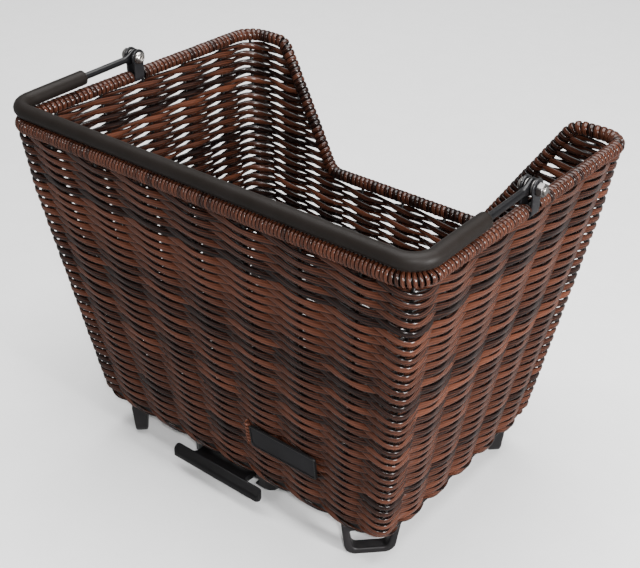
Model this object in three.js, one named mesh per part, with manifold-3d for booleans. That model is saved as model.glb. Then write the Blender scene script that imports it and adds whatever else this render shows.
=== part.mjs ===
// A rear-rack bicycle basket: strands twined over a welded wire frame, with a saddle cut-out in the
// front wall, a folding bail handle, four feet and a quick-release adapter under the floor.
// Millimetres, +Z up, the label side faces -Y and the saddle cut-out faces +Y.

import * as THREE from 'three';
import { mergeVertices } from 'three/addons/utils/BufferGeometryUtils.js';
import Module from 'manifold-3d';

const wasm = await Module();
wasm.setup();

// Driving dimensions of the woven body and its wire frame
const rimHalfLength = 204;
const rimHalfDepth = 145.5;
const rimHeight = 308;
const baseHalfLength = 160;
const baseHalfDepth = 111.5;
const baseHeight = 40;
const cornerRadius = 20;
const rimWireRadius = 3.5;
const wrapRadius = 6;
const ringWireRadius = 2.5;
const stakeRadius = 1.5;
const longStakePitch = 53;
const shortStakePitch = 51;
const longSideStakes = 7;
const shortSideStakes = 5;
const hollowHalfThickness = 1.6;
const archHeight = 3.6;
const seat = 0.3;
const weldBite = 0.5;

// A cutting solid reaches this far past what it cuts
const cutPast = 5;

// Saddle cut-out in the front wall
const saddleHeight = 196;
const saddleHalfWidth = 85;
const peakHalfWidth = 158;
const saddleRadius = 16;

// Woven floor on its wire grid
const floorThickness = 10.5;
const floorWireRadius = 1.5;
const floorWireFromScrew = 9;
const floorWireFromFoot = 22;

// Bail handle, its strap brackets and pivot screws
const pivotBehindMiddle = 7;
const pivotAboveRim = 17.5;
const bailReach = 143.5;
const bailCorner = 18;
const rodRadius = 3;
const gripRadius = 6.5;
const gripAboveWrap = 0.4;
const gripStartBehindPivot = 60;
const eyeRadius = 7;
const eyeThickness = 4;
const washerRadius = 6;
const washerThickness = 1.2;
const strapWidth = 11;
const strapThickness = 2;
const strapFromWrap = 0.5;
const earRadius = 7.5;
const boltRadius = 3;
const boltHeadRadius = 5.6;
const boltHeadHeight = 3.4;
const boltHeadFlat = 2.4;
const boltHeadEdge = 0.6;
const socketAcrossFlats = 4;
const socketDepth = 2;
const nutAcrossFlats = 10;
const nutHeight = 5;
const boltEndBeyondNut = 1.5;

// Screw heads that show inside the basket have a plain rim this high
const screwHeadRim = 1.2;

// Feet
const footFromShortSide = 23.5;
const footFromLongSide = 18;
const footTopWidth = 50;
const footSoleWidth = 41;
const footTopDepth = 15;
const footSoleDepth = 11;
const footWall = 6.5;
const footTopBar = 7.5;
const footCorner = 10;
const footEdge = 3;
const footWindowCorner = 5;
const footScrewRadius = 2.5;
const footScrewFlange = 8;
const footScrewHeadHeight = 3.8;
const footScrewBite = 5.5;

// Quick-release adapter
const adapterFromMiddleX = -10;
const adapterWidth = 98;
const adapterRear = 104;
const adapterFront = 76;
const adapterBottom = 13;
const adapterCorner = 9;
const channelWidth = 66;
const channelMouth = 58;
const channelLip = 3;
const channelLipSlope = 1;
const channelDepth = 7;
const screwSpacingX = 76;
const screwSpacingY = 120;
const adapterScrewRadius = 2.5;
const adapterScrewHead = 4.8;
const adapterScrewHeadHeight = 3;
const adapterScrewSocket = 3;
const adapterScrewSocketDepth = 1.7;
const adapterScrewBite = 9;
const clampPlateThickness = 3;
const clampPlateOverhang = 9;
const clampPlateCorner = 6;

// Pull handle of the adapter
const pullWidth = 102;
const pullReach = 23;
const pullBarDepth = 8;
const neckWidth = 58;
const pullThickness = 6.5;
const pullHeight = 22;
const pullLipDrop = 3.5;
const pullLipThickness = 4;
const pullLipSlope = 5;
const pullCorner = 4.5;
const pullSlotCorner = 3;
const tongueLength = 81;
const pullTravel = 10;
const springRadius = 3;
const springWire = 0.6;
const springCoils = 6;
const springLength = 20;
const springLand = 8;
const springWindowWidth = 10;
const postLength = 5;
const slotClear = 0.35;
const toothWidth = 26;
const toothLength = 8;
const toothDrop = 6;

// Bare label plate on the rear wall
const labelFromMiddle = 69;
const labelHeight = 89;
const labelWidth = 70;
const labelTall = 23;
const labelThickness = 2.2;
const labelBorder = 1.6;
const labelRecess = 0.6;
const labelCorner = 2.5;
const labelPinRadius = 1.4;
const labelPinSpacing = 44;
const labelClipRadius = 4;
const labelClipThickness = 1.2;

const materials = {
  strand: new THREE.MeshStandardMaterial({ color: 0x4a2a1e, roughness: 0.5, metalness: 0 }),
  wrap: new THREE.MeshStandardMaterial({ color: 0x6a4230, roughness: 0.5, metalness: 0 }),
  wire: new THREE.MeshStandardMaterial({ color: 0x141212, roughness: 0.45, metalness: 0.2 }),
  rod: new THREE.MeshStandardMaterial({ color: 0x1a1a1b, roughness: 0.35, metalness: 0.4 }),
  grip: new THREE.MeshStandardMaterial({ color: 0x2a2829, roughness: 0.75, metalness: 0 }),
  plastic: new THREE.MeshStandardMaterial({ color: 0x3a3838, roughness: 0.6, metalness: 0 }),
  darkPlastic: new THREE.MeshStandardMaterial({ color: 0x151313, roughness: 0.55, metalness: 0 }),
  stainless: new THREE.MeshStandardMaterial({ color: 0xc0bcb8, roughness: 0.3, metalness: 1 }),
  spring: new THREE.MeshStandardMaterial({ color: 0x9a9a9a, roughness: 0.35, metalness: 1 }),
  label: new THREE.MeshStandardMaterial({ color: 0x3c3b3d, roughness: 0.6, metalness: 0 }),
};

// Solids from geometries, and back

function toSolid(geometry) {
  const bare = geometry.clone();
  bare.deleteAttribute('normal');
  bare.deleteAttribute('uv');
  const merged = mergeVertices(bare, 1e-4);
  const mesh = new wasm.Mesh({
    numProp: 3,
    vertProperties: new Float32Array(merged.attributes.position.array),
    triVerts: new Uint32Array(merged.index.array),
  });
  return new wasm.Manifold(mesh);
}

function toGeometry(solid) {
  const mesh = solid.getMesh();
  const geometry = new THREE.BufferGeometry();
  geometry.setAttribute('position', new THREE.BufferAttribute(mesh.vertProperties, 3));
  geometry.setIndex(new THREE.BufferAttribute(mesh.triVerts, 1));
  return geometry;
}

function unite(geometries) {
  return geometries.map(toSolid).reduce((sum, solid) => sum.add(solid));
}

// Lines with rounded corners

function roundCorner(before, corner, after, radius, steps) {
  const toBefore = before.clone().sub(corner).normalize();
  const toAfter = after.clone().sub(corner).normalize();
  const half = toBefore.angleTo(toAfter) / 2;
  const reach = radius / Math.tan(half);
  const middle = toBefore.clone().add(toAfter).normalize();
  const centre = corner.clone().addScaledVector(middle, radius / Math.sin(half));
  const start = corner.clone().addScaledVector(toBefore, reach).sub(centre);
  const end = corner.clone().addScaledVector(toAfter, reach).sub(centre);
  const turn = start.angleTo(end);
  const points = [];
  for (let i = 0; i <= steps; i++) {
    const share = i / steps;
    const a = Math.sin((1 - share) * turn) / Math.sin(turn);
    const b = Math.sin(share * turn) / Math.sin(turn);
    points.push(centre.clone().addScaledVector(start, a).addScaledVector(end, b));
  }
  return points;
}

function roundedLine(corners, radii, closed, steps) {
  const points = [];
  corners.forEach((corner, i) => {
    const last = corners.length - 1;
    if (!closed && (i === 0 || i === last)) {
      points.push(corner.clone());
      return;
    }
    const before = corners[(i + last) % corners.length];
    const after = corners[(i + 1) % corners.length];
    points.push(...roundCorner(before, corner, after, radii[i], steps));
  });
  return points;
}

function roundedShape(corners, radii, steps) {
  const flat = corners.map(([x, y]) => new THREE.Vector3(x, y, 0));
  const line = roundedLine(flat, radii, true, steps);
  return new THREE.Shape(line.map((p) => new THREE.Vector2(p.x, p.y)));
}

// A round wire or tube along a line of points; sideways(point) is any direction off the line

function tube(points, radius, sides, closed, sideways) {
  const rings = points.map((point, i) => {
    const count = points.length;
    const before = points[closed ? (i + count - 1) % count : Math.max(i - 1, 0)];
    const after = points[closed ? (i + 1) % count : Math.min(i + 1, count - 1)];
    const into = point.clone().sub(before).normalize();
    const out = after.clone().sub(point).normalize();
    const along = into.add(out).normalize();
    const first = sideways(point).clone();
    first.addScaledVector(along, -first.dot(along)).normalize();
    const second = along.clone().cross(first);
    const ring = [];
    for (let k = 0; k < sides; k++) {
      const angle = ((k + 0.5) / sides) * 2 * Math.PI;
      ring.push(
        point.clone()
          .addScaledVector(first, radius * Math.cos(angle))
          .addScaledVector(second, radius * Math.sin(angle)),
      );
    }
    return ring;
  });
  return skin(rings, closed);
}

// Joins rings of points into one closed surface; open ends are capped from their middle

function skin(rings, closed) {
  const positions = rings.flat().flatMap((p) => [p.x, p.y, p.z]);
  const sides = rings[0].length;
  const index = [];
  const spans = closed ? rings.length : rings.length - 1;
  for (let i = 0; i < spans; i++) {
    const here = i * sides;
    const next = ((i + 1) % rings.length) * sides;
    for (let k = 0; k < sides; k++) {
      const l = (k + 1) % sides;
      index.push(here + k, here + l, next + l, here + k, next + l, next + k);
    }
  }
  if (!closed) {
    for (const end of [0, rings.length - 1]) {
      const middle = new THREE.Vector3();
      rings[end].forEach((p) => middle.addScaledVector(p, 1 / sides));
      const centre = positions.length / 3;
      positions.push(middle.x, middle.y, middle.z);
      for (let k = 0; k < sides; k++) {
        const a = end * sides + k;
        const b = end * sides + ((k + 1) % sides);
        index.push(...(end === 0 ? [centre, b, a] : [centre, a, b]));
      }
    }
  }
  const geometry = new THREE.BufferGeometry();
  geometry.setAttribute('position', new THREE.Float32BufferAttribute(positions, 3));
  geometry.setIndex(index);
  return geometry;
}

function straightRod(from, to, radius, sides) {
  const length = from.distanceTo(to);
  const rod = new THREE.CylinderGeometry(radius, radius, length, sides);
  const along = to.clone().sub(from).normalize();
  const turn = new THREE.Quaternion().setFromUnitVectors(new THREE.Vector3(0, 1, 0), along);
  const middle = from.clone().add(to).multiplyScalar(0.5);
  return rod.applyQuaternion(turn).translate(middle.x, middle.y, middle.z);
}

// Extrusions set along one axis: the shape's x and y become the other two axes

function alongZ(shape, from, to) {
  return new THREE.ExtrudeGeometry(shape, { depth: to - from, bevelEnabled: false }).translate(0, 0, from);
}

function alongX(shape, from, to) {
  const solid = new THREE.ExtrudeGeometry(shape, { depth: to - from, bevelEnabled: false });
  return solid.rotateX(Math.PI / 2).rotateZ(Math.PI / 2).translate(from, 0, 0);
}

function alongY(shape, from, to, curveSegments = 12) {
  const solid = new THREE.ExtrudeGeometry(shape, { depth: to - from, bevelEnabled: false, curveSegments });
  return solid.rotateX(Math.PI / 2).translate(0, to, 0);
}

function roundDisc(radius, sides) {
  const corners = [];
  for (let k = 0; k < sides; k++) {
    const angle = (k / sides) * 2 * Math.PI;
    corners.push(new THREE.Vector2(radius * Math.cos(angle), radius * Math.sin(angle)));
  }
  return new THREE.Shape(corners);
}

function block(x0, x1, y0, y1, z0, z1) {
  const box = new THREE.BoxGeometry(x1 - x0, y1 - y0, z1 - z0);
  return box.translate((x0 + x1) / 2, (y0 + y1) / 2, (z0 + z1) / 2);
}

// The woven walls' middle surface: a tapered rounded rectangle

const rise = rimHeight - baseHeight;

function halfLengthAt(z) {
  return baseHalfLength + (rimHalfLength - baseHalfLength) * ((z - baseHeight) / rise);
}

function halfDepthAt(z) {
  return baseHalfDepth + (rimHalfDepth - baseHalfDepth) * ((z - baseHeight) / rise);
}

// A place round the wall: shareX and shareY run from -1 to 1 along the straight stretches, and
// (outX, outY) is the outward direction; bulge is 1 over a stake, where the strands arch round
// it on both sides, and 0 in the hollow between two stakes, where they cross
function wallPoint(place, z, offset) {
  const x = place.shareX * (halfLengthAt(z) - cornerRadius) + place.outX * (cornerRadius + offset);
  const y = place.shareY * (halfDepthAt(z) - cornerRadius) + place.outY * (cornerRadius + offset);
  return new THREE.Vector3(x, y, z);
}

function sideShares(count, pitch, halfSide) {
  const shares = [];
  for (let k = 0; k < count; k++) {
    shares.push(((k - (count - 1) / 2) * pitch) / (halfSide - cornerRadius));
  }
  return shares;
}

const longShares = sideShares(longSideStakes, longStakePitch, rimHalfLength);
const shortShares = sideShares(shortSideStakes, shortStakePitch, rimHalfDepth);

// One side's places from corner to corner: four steps to a bay, the bulge as a raised cosine
function sidePlaces(shares, make) {
  const marks = [-1, ...shares, 1];
  const places = [];
  for (let i = 0; i < marks.length - 1; i++) {
    const fromStake = i > 0;
    const toStake = i < marks.length - 2;
    const steps = fromStake && toStake ? 4 : 2;
    for (let s = 0; s < steps; s++) {
      const share = s / steps;
      const phase = steps === 4 ? share : (share / 2) + (fromStake ? 0 : 0.5);
      const bulge = (1 + Math.cos(2 * Math.PI * phase)) / 2;
      places.push({ ...make(marks[i] + (marks[i + 1] - marks[i]) * share), bulge });
    }
  }
  return places;
}

function cornerPlaces(shareX, shareY, startAngle) {
  const places = [];
  for (let s = 0; s < 4; s++) {
    const angle = startAngle + (s / 4) * (Math.PI / 2);
    const bulge = (1 - Math.cos(2 * Math.PI * (s / 4))) / 2;
    places.push({ shareX, shareY, outX: Math.cos(angle), outY: Math.sin(angle), bulge });
  }
  return places;
}

const quarter = Math.PI / 2;
const wallPlaces = [
  ...sidePlaces(longShares, (s) => ({ shareX: s, shareY: -1, outX: 0, outY: -1 })),
  ...cornerPlaces(1, -1, -quarter),
  ...sidePlaces(shortShares, (s) => ({ shareX: 1, shareY: s, outX: 1, outY: 0 })),
  ...cornerPlaces(1, 1, 0),
  ...sidePlaces(longShares, (s) => ({ shareX: -s, shareY: 1, outX: 0, outY: 1 })),
  ...cornerPlaces(-1, 1, quarter),
  ...sidePlaces(shortShares, (s) => ({ shareX: -1, shareY: -s, outX: -1, outY: 0 })),
  ...cornerPlaces(-1, -1, 2 * quarter),
];

// The direction away from the basket's middle at a point of the rim or ring
function outward(point) {
  const reachX = halfLengthAt(point.z) - cornerRadius;
  const reachY = halfDepthAt(point.z) - cornerRadius;
  const x = point.x - THREE.MathUtils.clamp(point.x, -reachX, reachX);
  const y = point.y - THREE.MathUtils.clamp(point.y, -reachY, reachY);
  return new THREE.Vector3(x, y, 0).normalize();
}

// Wire frame: rim wire with the saddle cut-out, stakes, base ring and floor grid, welded into one

const arcSteps = 4;
const peakY = halfDepthAt(rimHeight);
const saddleY = halfDepthAt(saddleHeight);
const rimCorners = [
  new THREE.Vector3(-rimHalfLength, -rimHalfDepth, rimHeight),
  new THREE.Vector3(rimHalfLength, -rimHalfDepth, rimHeight),
  new THREE.Vector3(rimHalfLength, rimHalfDepth, rimHeight),
  new THREE.Vector3(peakHalfWidth, peakY, rimHeight),
  new THREE.Vector3(saddleHalfWidth, saddleY, saddleHeight),
  new THREE.Vector3(-saddleHalfWidth, saddleY, saddleHeight),
  new THREE.Vector3(-peakHalfWidth, peakY, rimHeight),
  new THREE.Vector3(-rimHalfLength, rimHalfDepth, rimHeight),
];
const rimRadii = rimCorners.map((corner, i) => (i >= 3 && i <= 6 ? saddleRadius : cornerRadius));
const rimLine = roundedLine(rimCorners, rimRadii, true, arcSteps);

const ringCorners = [[-1, -1], [1, -1], [1, 1], [-1, 1]].map(
  ([x, y]) => new THREE.Vector3(x * baseHalfLength, y * baseHalfDepth, baseHeight),
);
const ringLine = roundedLine(ringCorners, ringCorners.map(() => cornerRadius), true, arcSteps);

// Height at which a front stake meets the rim wire, on the saddle or on a slope beside it
function frontStakeTop(share) {
  let top = rimHeight;
  for (let i = 0; i < rimLine.length; i++) {
    const a = rimLine[i];
    const b = rimLine[(i + 1) % rimLine.length];
    if (a.y <= 0 || outward(a).y < 0.99 || outward(b).y < 0.99) continue;
    const missA = a.x - share * (halfLengthAt(a.z) - cornerRadius);
    const missB = b.x - share * (halfLengthAt(b.z) - cornerRadius);
    if (missA * missB > 0 || missA === missB) continue;
    top = Math.min(top, a.z + (b.z - a.z) * (missA / (missA - missB)));
  }
  return top;
}

const stakePlaces = [];
for (const share of longShares) {
  stakePlaces.push({ shareX: share, shareY: -1, outX: 0, outY: -1, top: rimHeight });
  stakePlaces.push({ shareX: share, shareY: 1, outX: 0, outY: 1, top: frontStakeTop(share) });
}
for (const share of shortShares) {
  stakePlaces.push({ shareX: 1, shareY: share, outX: 1, outY: 0, top: rimHeight });
  stakePlaces.push({ shareX: -1, shareY: share, outX: -1, outY: 0, top: rimHeight });
}
for (const [x, y] of [[-1, -1], [1, -1], [1, 1], [-1, 1]]) {
  const diagonal = Math.SQRT1_2;
  stakePlaces.push({ shareX: x, shareY: y, outX: x * diagonal, outY: y * diagonal, top: rimHeight });
}

function stakes(radius) {
  return stakePlaces.map((place) => {
    const foot = wallPoint(place, baseHeight, 0);
    const head = wallPoint(place, place.top, 0);
    return straightRod(foot, head, radius, 5);
  });
}

const floorTop = baseHeight + floorThickness / 2;
const floorBottom = baseHeight - floorThickness / 2;

const adapterMiddleY = (adapterFront - adapterRear) / 2;
const footX = baseHalfLength - footFromShortSide;
const footY = baseHalfDepth - footFromLongSide;

// The grid's wires pass beside the adapter's screws and inside the feet
function floorWires(radius) {
  const wires = [];
  const level = floorWireRadius - weldBite / 2;
  const besideX = screwSpacingX / 2 + floorWireFromScrew;
  const besideY = screwSpacingY / 2 - floorWireFromScrew;
  const outerX = footX - floorWireFromFoot;
  for (const x of [-outerX, adapterFromMiddleX - besideX, adapterFromMiddleX,
    adapterFromMiddleX + besideX, outerX]) {
    const z = baseHeight + level;
    wires.push(straightRod(
      new THREE.Vector3(x, -baseHalfDepth, z), new THREE.Vector3(x, baseHalfDepth, z), radius, 5));
  }
  for (const y of [adapterMiddleY - besideY, adapterMiddleY, adapterMiddleY + besideY]) {
    const z = baseHeight - level;
    wires.push(straightRod(
      new THREE.Vector3(-baseHalfLength, y, z), new THREE.Vector3(baseHalfLength, y, z), radius, 5));
  }
  return wires;
}

const wireFrame = unite([
  tube(rimLine, rimWireRadius, 6, true, outward),
  tube(ringLine, ringWireRadius, 6, true, outward),
  ...stakes(stakeRadius),
  ...floorWires(floorWireRadius),
]);
const stakeBores = unite(stakes(stakeRadius + seat));
const floorBores = unite(floorWires(floorWireRadius + seat));
const rimBore = toSolid(tube(rimLine, rimWireRadius + seat, 6, true, outward));

// Rim wraps: strand wound round the rim wire, in two runs that stop at the handle brackets

const pivotY = -pivotBehindMiddle;
const pivotZ = rimHeight + pivotAboveRim;
const bracketGap = strapWidth / 2 + strapFromWrap;
const rearWrapEnd = pivotY - bracketGap;
const frontWrapEnd = pivotY + bracketGap;
const wrapEnd = (side, y) => new THREE.Vector3(side * rimHalfLength, y, rimHeight);
const pointsPerCorner = arcSteps + 1;
const rearArcs = rimLine.slice(0, 2 * pointsPerCorner);
const frontArcs = rimLine.slice(2 * pointsPerCorner);

function rimWrap(line) {
  const outer = toSolid(tube(line, wrapRadius, 10, false, outward));
  return outer.subtract(rimBore).subtract(stakeBores);
}

const rearWrap = rimWrap([wrapEnd(-1, rearWrapEnd), ...rearArcs, wrapEnd(1, rearWrapEnd)]);
const frontWrap = rimWrap([wrapEnd(1, frontWrapEnd), ...frontArcs, wrapEnd(-1, frontWrapEnd)]);

// Woven wall: a shell round the stakes, open at the top and cut down for the saddle

const floorWireTop = 2 * floorWireRadius - weldBite / 2;
const wallBottom = baseHeight + Math.max(ringWireRadius, floorWireTop) + seat;
const wallTop = rimHeight - wrapRadius - seat;

function wallRing(z, side) {
  return wallPlaces.map((place) => {
    const offset = side * (hollowHalfThickness + archHeight * place.bulge);
    return wallPoint(place, z, offset);
  });
}

function saddleCut() {
  const clear = wrapRadius + seat;
  const slope = new THREE.Vector2(peakHalfWidth - saddleHalfWidth, rimHeight - saddleHeight).normalize();
  const aside = new THREE.Vector2(slope.y, -slope.x).multiplyScalar(clear);
  const start = new THREE.Vector2(saddleHalfWidth, saddleHeight).add(aside);
  const xAt = (z) => start.x + (slope.x / slope.y) * (z - start.y);
  const low = saddleHeight - clear;
  const high = rimHeight - clear;
  const over = rimHeight + 2 * wrapRadius;
  const half = [[xAt(low), low], [xAt(high), high], [rimHalfLength, high], [rimHalfLength, over]];
  const corners = [...half, ...half.map(([x, z]) => [-x, z]).reverse()];
  const sharp = 1;
  const radii = [saddleRadius + clear, saddleRadius - clear, sharp, sharp];
  const shape = roundedShape(corners, [...radii, ...radii.slice().reverse()], arcSteps);
  return toSolid(alongY(shape, baseHalfDepth - cornerRadius, rimHalfDepth + cornerRadius));
}

function wallShell() {
  const outer = toSolid(skin([wallRing(wallBottom, 1), wallRing(wallTop, 1)], false));
  const under = wallBottom - cutPast;
  const over = wallTop + cutPast;
  const inner = toSolid(skin([wallRing(under, -1), wallRing(over, -1)], false));
  return outer.subtract(inner);
}

// Label plate on the rear wall: pins behind it pass through the weave into two clips

const wallLean = Math.atan2(rimHalfDepth - baseHalfDepth, rise);
const labelGroup = new THREE.Matrix4().makeRotationX(wallLean)
  .setPosition(labelFromMiddle, -halfDepthAt(labelHeight), labelHeight);
const wallHalfThickness = hollowHalfThickness + archHeight;
const labelBack = -(wallHalfThickness + seat);
const clipFace = wallHalfThickness + seat;

function pinSet(radius, from, to) {
  return [-1, 1].map((side) => alongY(roundDisc(radius, 8), from, to)
    .translate((side * labelPinSpacing) / 2, 0, 0));
}

function rectangle(width, tall, radius) {
  const x = width / 2;
  const y = tall / 2;
  const corners = [[-x, -y], [x, -y], [x, y], [-x, y]];
  return roundedShape(corners, [radius, radius, radius, radius], 2);
}

function labelPlate() {
  const face = labelBack - labelThickness;
  const body = alongY(rectangle(labelWidth, labelTall, labelCorner), face, labelBack);
  const field = rectangle(
    labelWidth - 2 * labelBorder, labelTall - 2 * labelBorder, labelCorner - labelBorder);
  const recess = alongY(field, face - 1, face + labelRecess);
  const pins = pinSet(labelPinRadius, labelBack - labelThickness / 2, clipFace + labelClipThickness);
  return unite([body, ...pins]).subtract(toSolid(recess));
}

function labelClip(side) {
  const disc = alongY(roundDisc(labelClipRadius, 12), clipFace, clipFace + labelClipThickness);
  const hole = alongY(roundDisc(labelPinRadius + seat, 8), clipFace - 1, clipFace + labelClipThickness + 1);
  return toSolid(disc).subtract(toSolid(hole));
}

const labelBores = unite(pinSet(labelPinRadius + seat, labelBack - 2, clipFace + 2))
  .transform(labelGroup.elements);

const wovenWall = wallShell().subtract(saddleCut()).subtract(stakeBores).subtract(labelBores);

// Woven floor inside the base ring, with holes for the foot and adapter screws

const footPlaces = [
  { name: 'rear_left', x: -footX, y: -footY },
  { name: 'rear_right', x: footX, y: -footY },
  { name: 'front_right', x: footX, y: footY },
  { name: 'front_left', x: -footX, y: footY },
];
const adapterScrewPlaces = [];
for (const [name, x, y] of [['rear_left', -1, -1], ['rear_right', 1, -1], ['front_right', 1, 1],
  ['front_left', -1, 1]]) {
  adapterScrewPlaces.push({
    name,
    x: adapterFromMiddleX + (x * screwSpacingX) / 2,
    y: adapterMiddleY + (y * screwSpacingY) / 2,
  });
}

function uprightDisc(place, radius, from, to, sides) {
  return alongZ(roundDisc(radius, sides), from, to).translate(place.x, place.y, 0);
}

function wovenFloor() {
  const inset = wallHalfThickness + seat;
  const x = baseHalfLength - inset;
  const y = baseHalfDepth - inset;
  const radius = cornerRadius - inset;
  const corners = [[-x, -y], [x, -y], [x, y], [-x, y]];
  const shape = roundedShape(corners, [radius, radius, radius, radius], arcSteps);
  let floor = toSolid(alongZ(shape, floorBottom, floorTop)).subtract(floorBores);
  for (const place of footPlaces) {
    const hole = uprightDisc(place, footScrewRadius + seat, floorBottom - 1, floorTop + 1, 8);
    floor = floor.subtract(toSolid(hole));
  }
  for (const place of adapterScrewPlaces) {
    const hole = uprightDisc(place, adapterScrewRadius + seat, floorBottom - 1, floorTop + 1, 8);
    floor = floor.subtract(toSolid(hole));
  }
  return floor;
}

// Feet: moulded loops set across the corners, each held by a flanged screw through the floor

const footTop = floorBottom - seat;

function footSolid() {
  const top = footTopWidth / 2;
  const sole = footSoleWidth / 2;
  const sharp = 1;
  const face = roundedShape(
    [[-sole, 0], [sole, 0], [top, footTop], [-top, footTop]], [footCorner, footCorner, sharp, sharp], 3);
  const lower = sole - footWall;
  const upper = top - footWall;
  const windowTop = footTop - footTopBar;
  const hole = roundedShape(
    [[-lower, footWall], [lower, footWall], [upper, windowTop], [-upper, windowTop]],
    [footWindowCorner, footWindowCorner, footEdge, footEdge], 2);
  const deep = footTopDepth / 2;
  const shallow = footSoleDepth / 2;
  const side = roundedShape(
    [[-shallow, 0], [shallow, 0], [deep, footTop], [-deep, footTop]],
    [footEdge, footEdge, sharp, sharp], 2);
  const reach = footTopWidth;
  const screwHole = uprightDisc({ x: 0, y: 0 }, footScrewRadius + seat, footTop - footScrewBite - seat,
    footTop + 1, 8);
  return toSolid(alongY(face, -reach, reach))
    .intersect(toSolid(alongX(side, -reach, reach)))
    .subtract(toSolid(alongY(hole, -reach, reach)))
    .subtract(toSolid(screwHole));
}

function lathe(profile, sides) {
  return new THREE.LatheGeometry(profile.map(([r, z]) => new THREE.Vector2(r, z)), sides)
    .rotateX(Math.PI / 2);
}

function footScrew() {
  const under = floorTop + seat;
  const tip = footTop - footScrewBite;
  return lathe([
    [0, tip], [footScrewRadius, tip], [footScrewRadius, under], [footScrewFlange, under],
    [footScrewFlange, under + screwHeadRim], [2 * footScrewRadius, under + 0.9 * footScrewHeadHeight],
    [0, under + footScrewHeadHeight],
  ], 12);
}

// Adapter housing: plate with a T-channel for the rack's plate and a slot for the pull handle

const adapterTop = floorBottom - seat;
const pullTop = pullHeight + pullThickness;
const crossbarBack = adapterRear + pullReach - pullBarDepth;
const tongueEnd = -(crossbarBack - tongueLength);
const windowFront = tongueEnd - springLand;
const windowRear = windowFront - springLength - postLength - 2 * seat;
const postRear = windowRear + seat;
const postFront = postRear + postLength;

function adapterHousing() {
  const half = adapterWidth / 2;
  const outline = roundedShape(
    [[-half, -adapterRear], [half, -adapterRear], [half, adapterFront], [-half, adapterFront]],
    [adapterCorner, adapterCorner, adapterCorner, adapterCorner], 3);
  const wide = channelWidth / 2;
  const mouth = channelMouth / 2;
  const lipTop = adapterBottom + channelLip;
  const roof = adapterBottom + channelDepth;
  const channel = new THREE.Shape([
    new THREE.Vector2(-mouth, adapterBottom - 1), new THREE.Vector2(mouth, adapterBottom - 1),
    new THREE.Vector2(mouth, lipTop - channelLipSlope), new THREE.Vector2(wide, lipTop),
    new THREE.Vector2(wide, roof), new THREE.Vector2(-wide, roof),
    new THREE.Vector2(-wide, lipTop), new THREE.Vector2(-mouth, lipTop - channelLipSlope),
  ]);
  const neck = neckWidth / 2 + slotClear;
  const slot = block(-neck, neck, -adapterRear - cutPast, tongueEnd + slotClear,
    pullHeight - slotClear, pullTop + slotClear);
  const tooth = toothWidth / 2 + slotClear;
  const toothWindow = block(-tooth, tooth, tongueEnd - toothLength - pullTravel - slotClear,
    tongueEnd + slotClear, adapterBottom, pullHeight);
  const post = block(-springWindowWidth / 2 + seat, springWindowWidth / 2 - seat, postRear, postFront,
    pullHeight - 1, pullTop + 1);
  const shell = toSolid(alongZ(outline, adapterBottom, adapterTop))
    .subtract(toSolid(alongY(channel, -adapterRear - cutPast, adapterFront + cutPast)))
    .subtract(toSolid(slot))
    .subtract(toSolid(toothWindow))
    .add(toSolid(post));
  return adapterScrewPlaces.reduce((body, place) => {
    const local = { x: place.x - adapterFromMiddleX, y: place.y };
    const hole = uprightDisc(local, adapterScrewRadius + seat, adapterTop - adapterScrewBite - seat,
      adapterTop + 1, 10);
    return body.subtract(toSolid(hole));
  }, shell);
}

// Pull handle: a T whose crossbar curls down into a finger lip, with a latch tooth at its inner end

function pullHandle() {
  const neck = neckWidth / 2;
  const bar = pullWidth / 2;
  const rear = -(adapterRear + pullReach);
  const back = -crossbarBack;
  const plan = roundedShape([
    [-bar, rear], [bar, rear], [bar, back], [neck, back],
    [neck, tongueEnd], [-neck, tongueEnd], [-neck, back], [-bar, back],
  ], [pullCorner, pullCorner, pullSlotCorner, pullSlotCorner, 1, 1, pullSlotCorner, pullSlotCorner], 3);
  const lip = pullHeight - pullLipDrop;
  const profile = roundedShape([
    [rear, lip], [rear + pullLipThickness, lip],
    [rear + pullLipThickness + pullLipSlope, pullHeight], [tongueEnd, pullHeight],
    [tongueEnd, pullTop], [back, pullTop], [rear, pullTop - pullLipSlope],
  ], [1.5, 1.5, pullLipThickness, 1, 1, pullCorner, pullLipThickness], 3);
  const half = springWindowWidth / 2;
  const springWindow = block(-half, half, windowRear, windowFront, pullHeight - 1, pullTop + 1);
  const wide = toothWidth / 2;
  const toothTip = pullHeight - toothDrop;
  const toothRoot = pullHeight + pullThickness / 2;
  const wedge = new THREE.Shape([
    new THREE.Vector2(tongueEnd - toothLength, toothRoot),
    new THREE.Vector2(tongueEnd - toothLength, toothTip),
    new THREE.Vector2(tongueEnd - toothLength / 2, toothTip),
    new THREE.Vector2(tongueEnd, pullHeight - toothDrop / 3),
    new THREE.Vector2(tongueEnd, toothRoot),
  ]);
  return toSolid(alongZ(plan, lip - 1, pullTop + 1))
    .intersect(toSolid(alongX(profile, -bar - 1, bar + 1)))
    .add(toSolid(alongX(wedge, -wide, wide)))
    .subtract(toSolid(springWindow));
}

// Return spring between the housing's post and the front edge of the handle's window

function returnSpring() {
  const from = postFront + seat + springWire;
  const to = windowFront - seat - springWire;
  const radius = springRadius - springWire;
  const z = (pullHeight + pullTop) / 2;
  const steps = 8 * springCoils;
  const points = [];
  for (let i = 0; i <= steps; i++) {
    const angle = (i / 8) * 2 * Math.PI;
    const y = from + (to - from) * (i / steps);
    points.push(new THREE.Vector3(radius * Math.cos(angle), y, z + radius * Math.sin(angle)));
  }
  return tube(points, springWire, 5, false, () => new THREE.Vector3(0, 1, 0));
}

// Clamp plate inside the basket, and the screws through it into the housing

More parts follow.
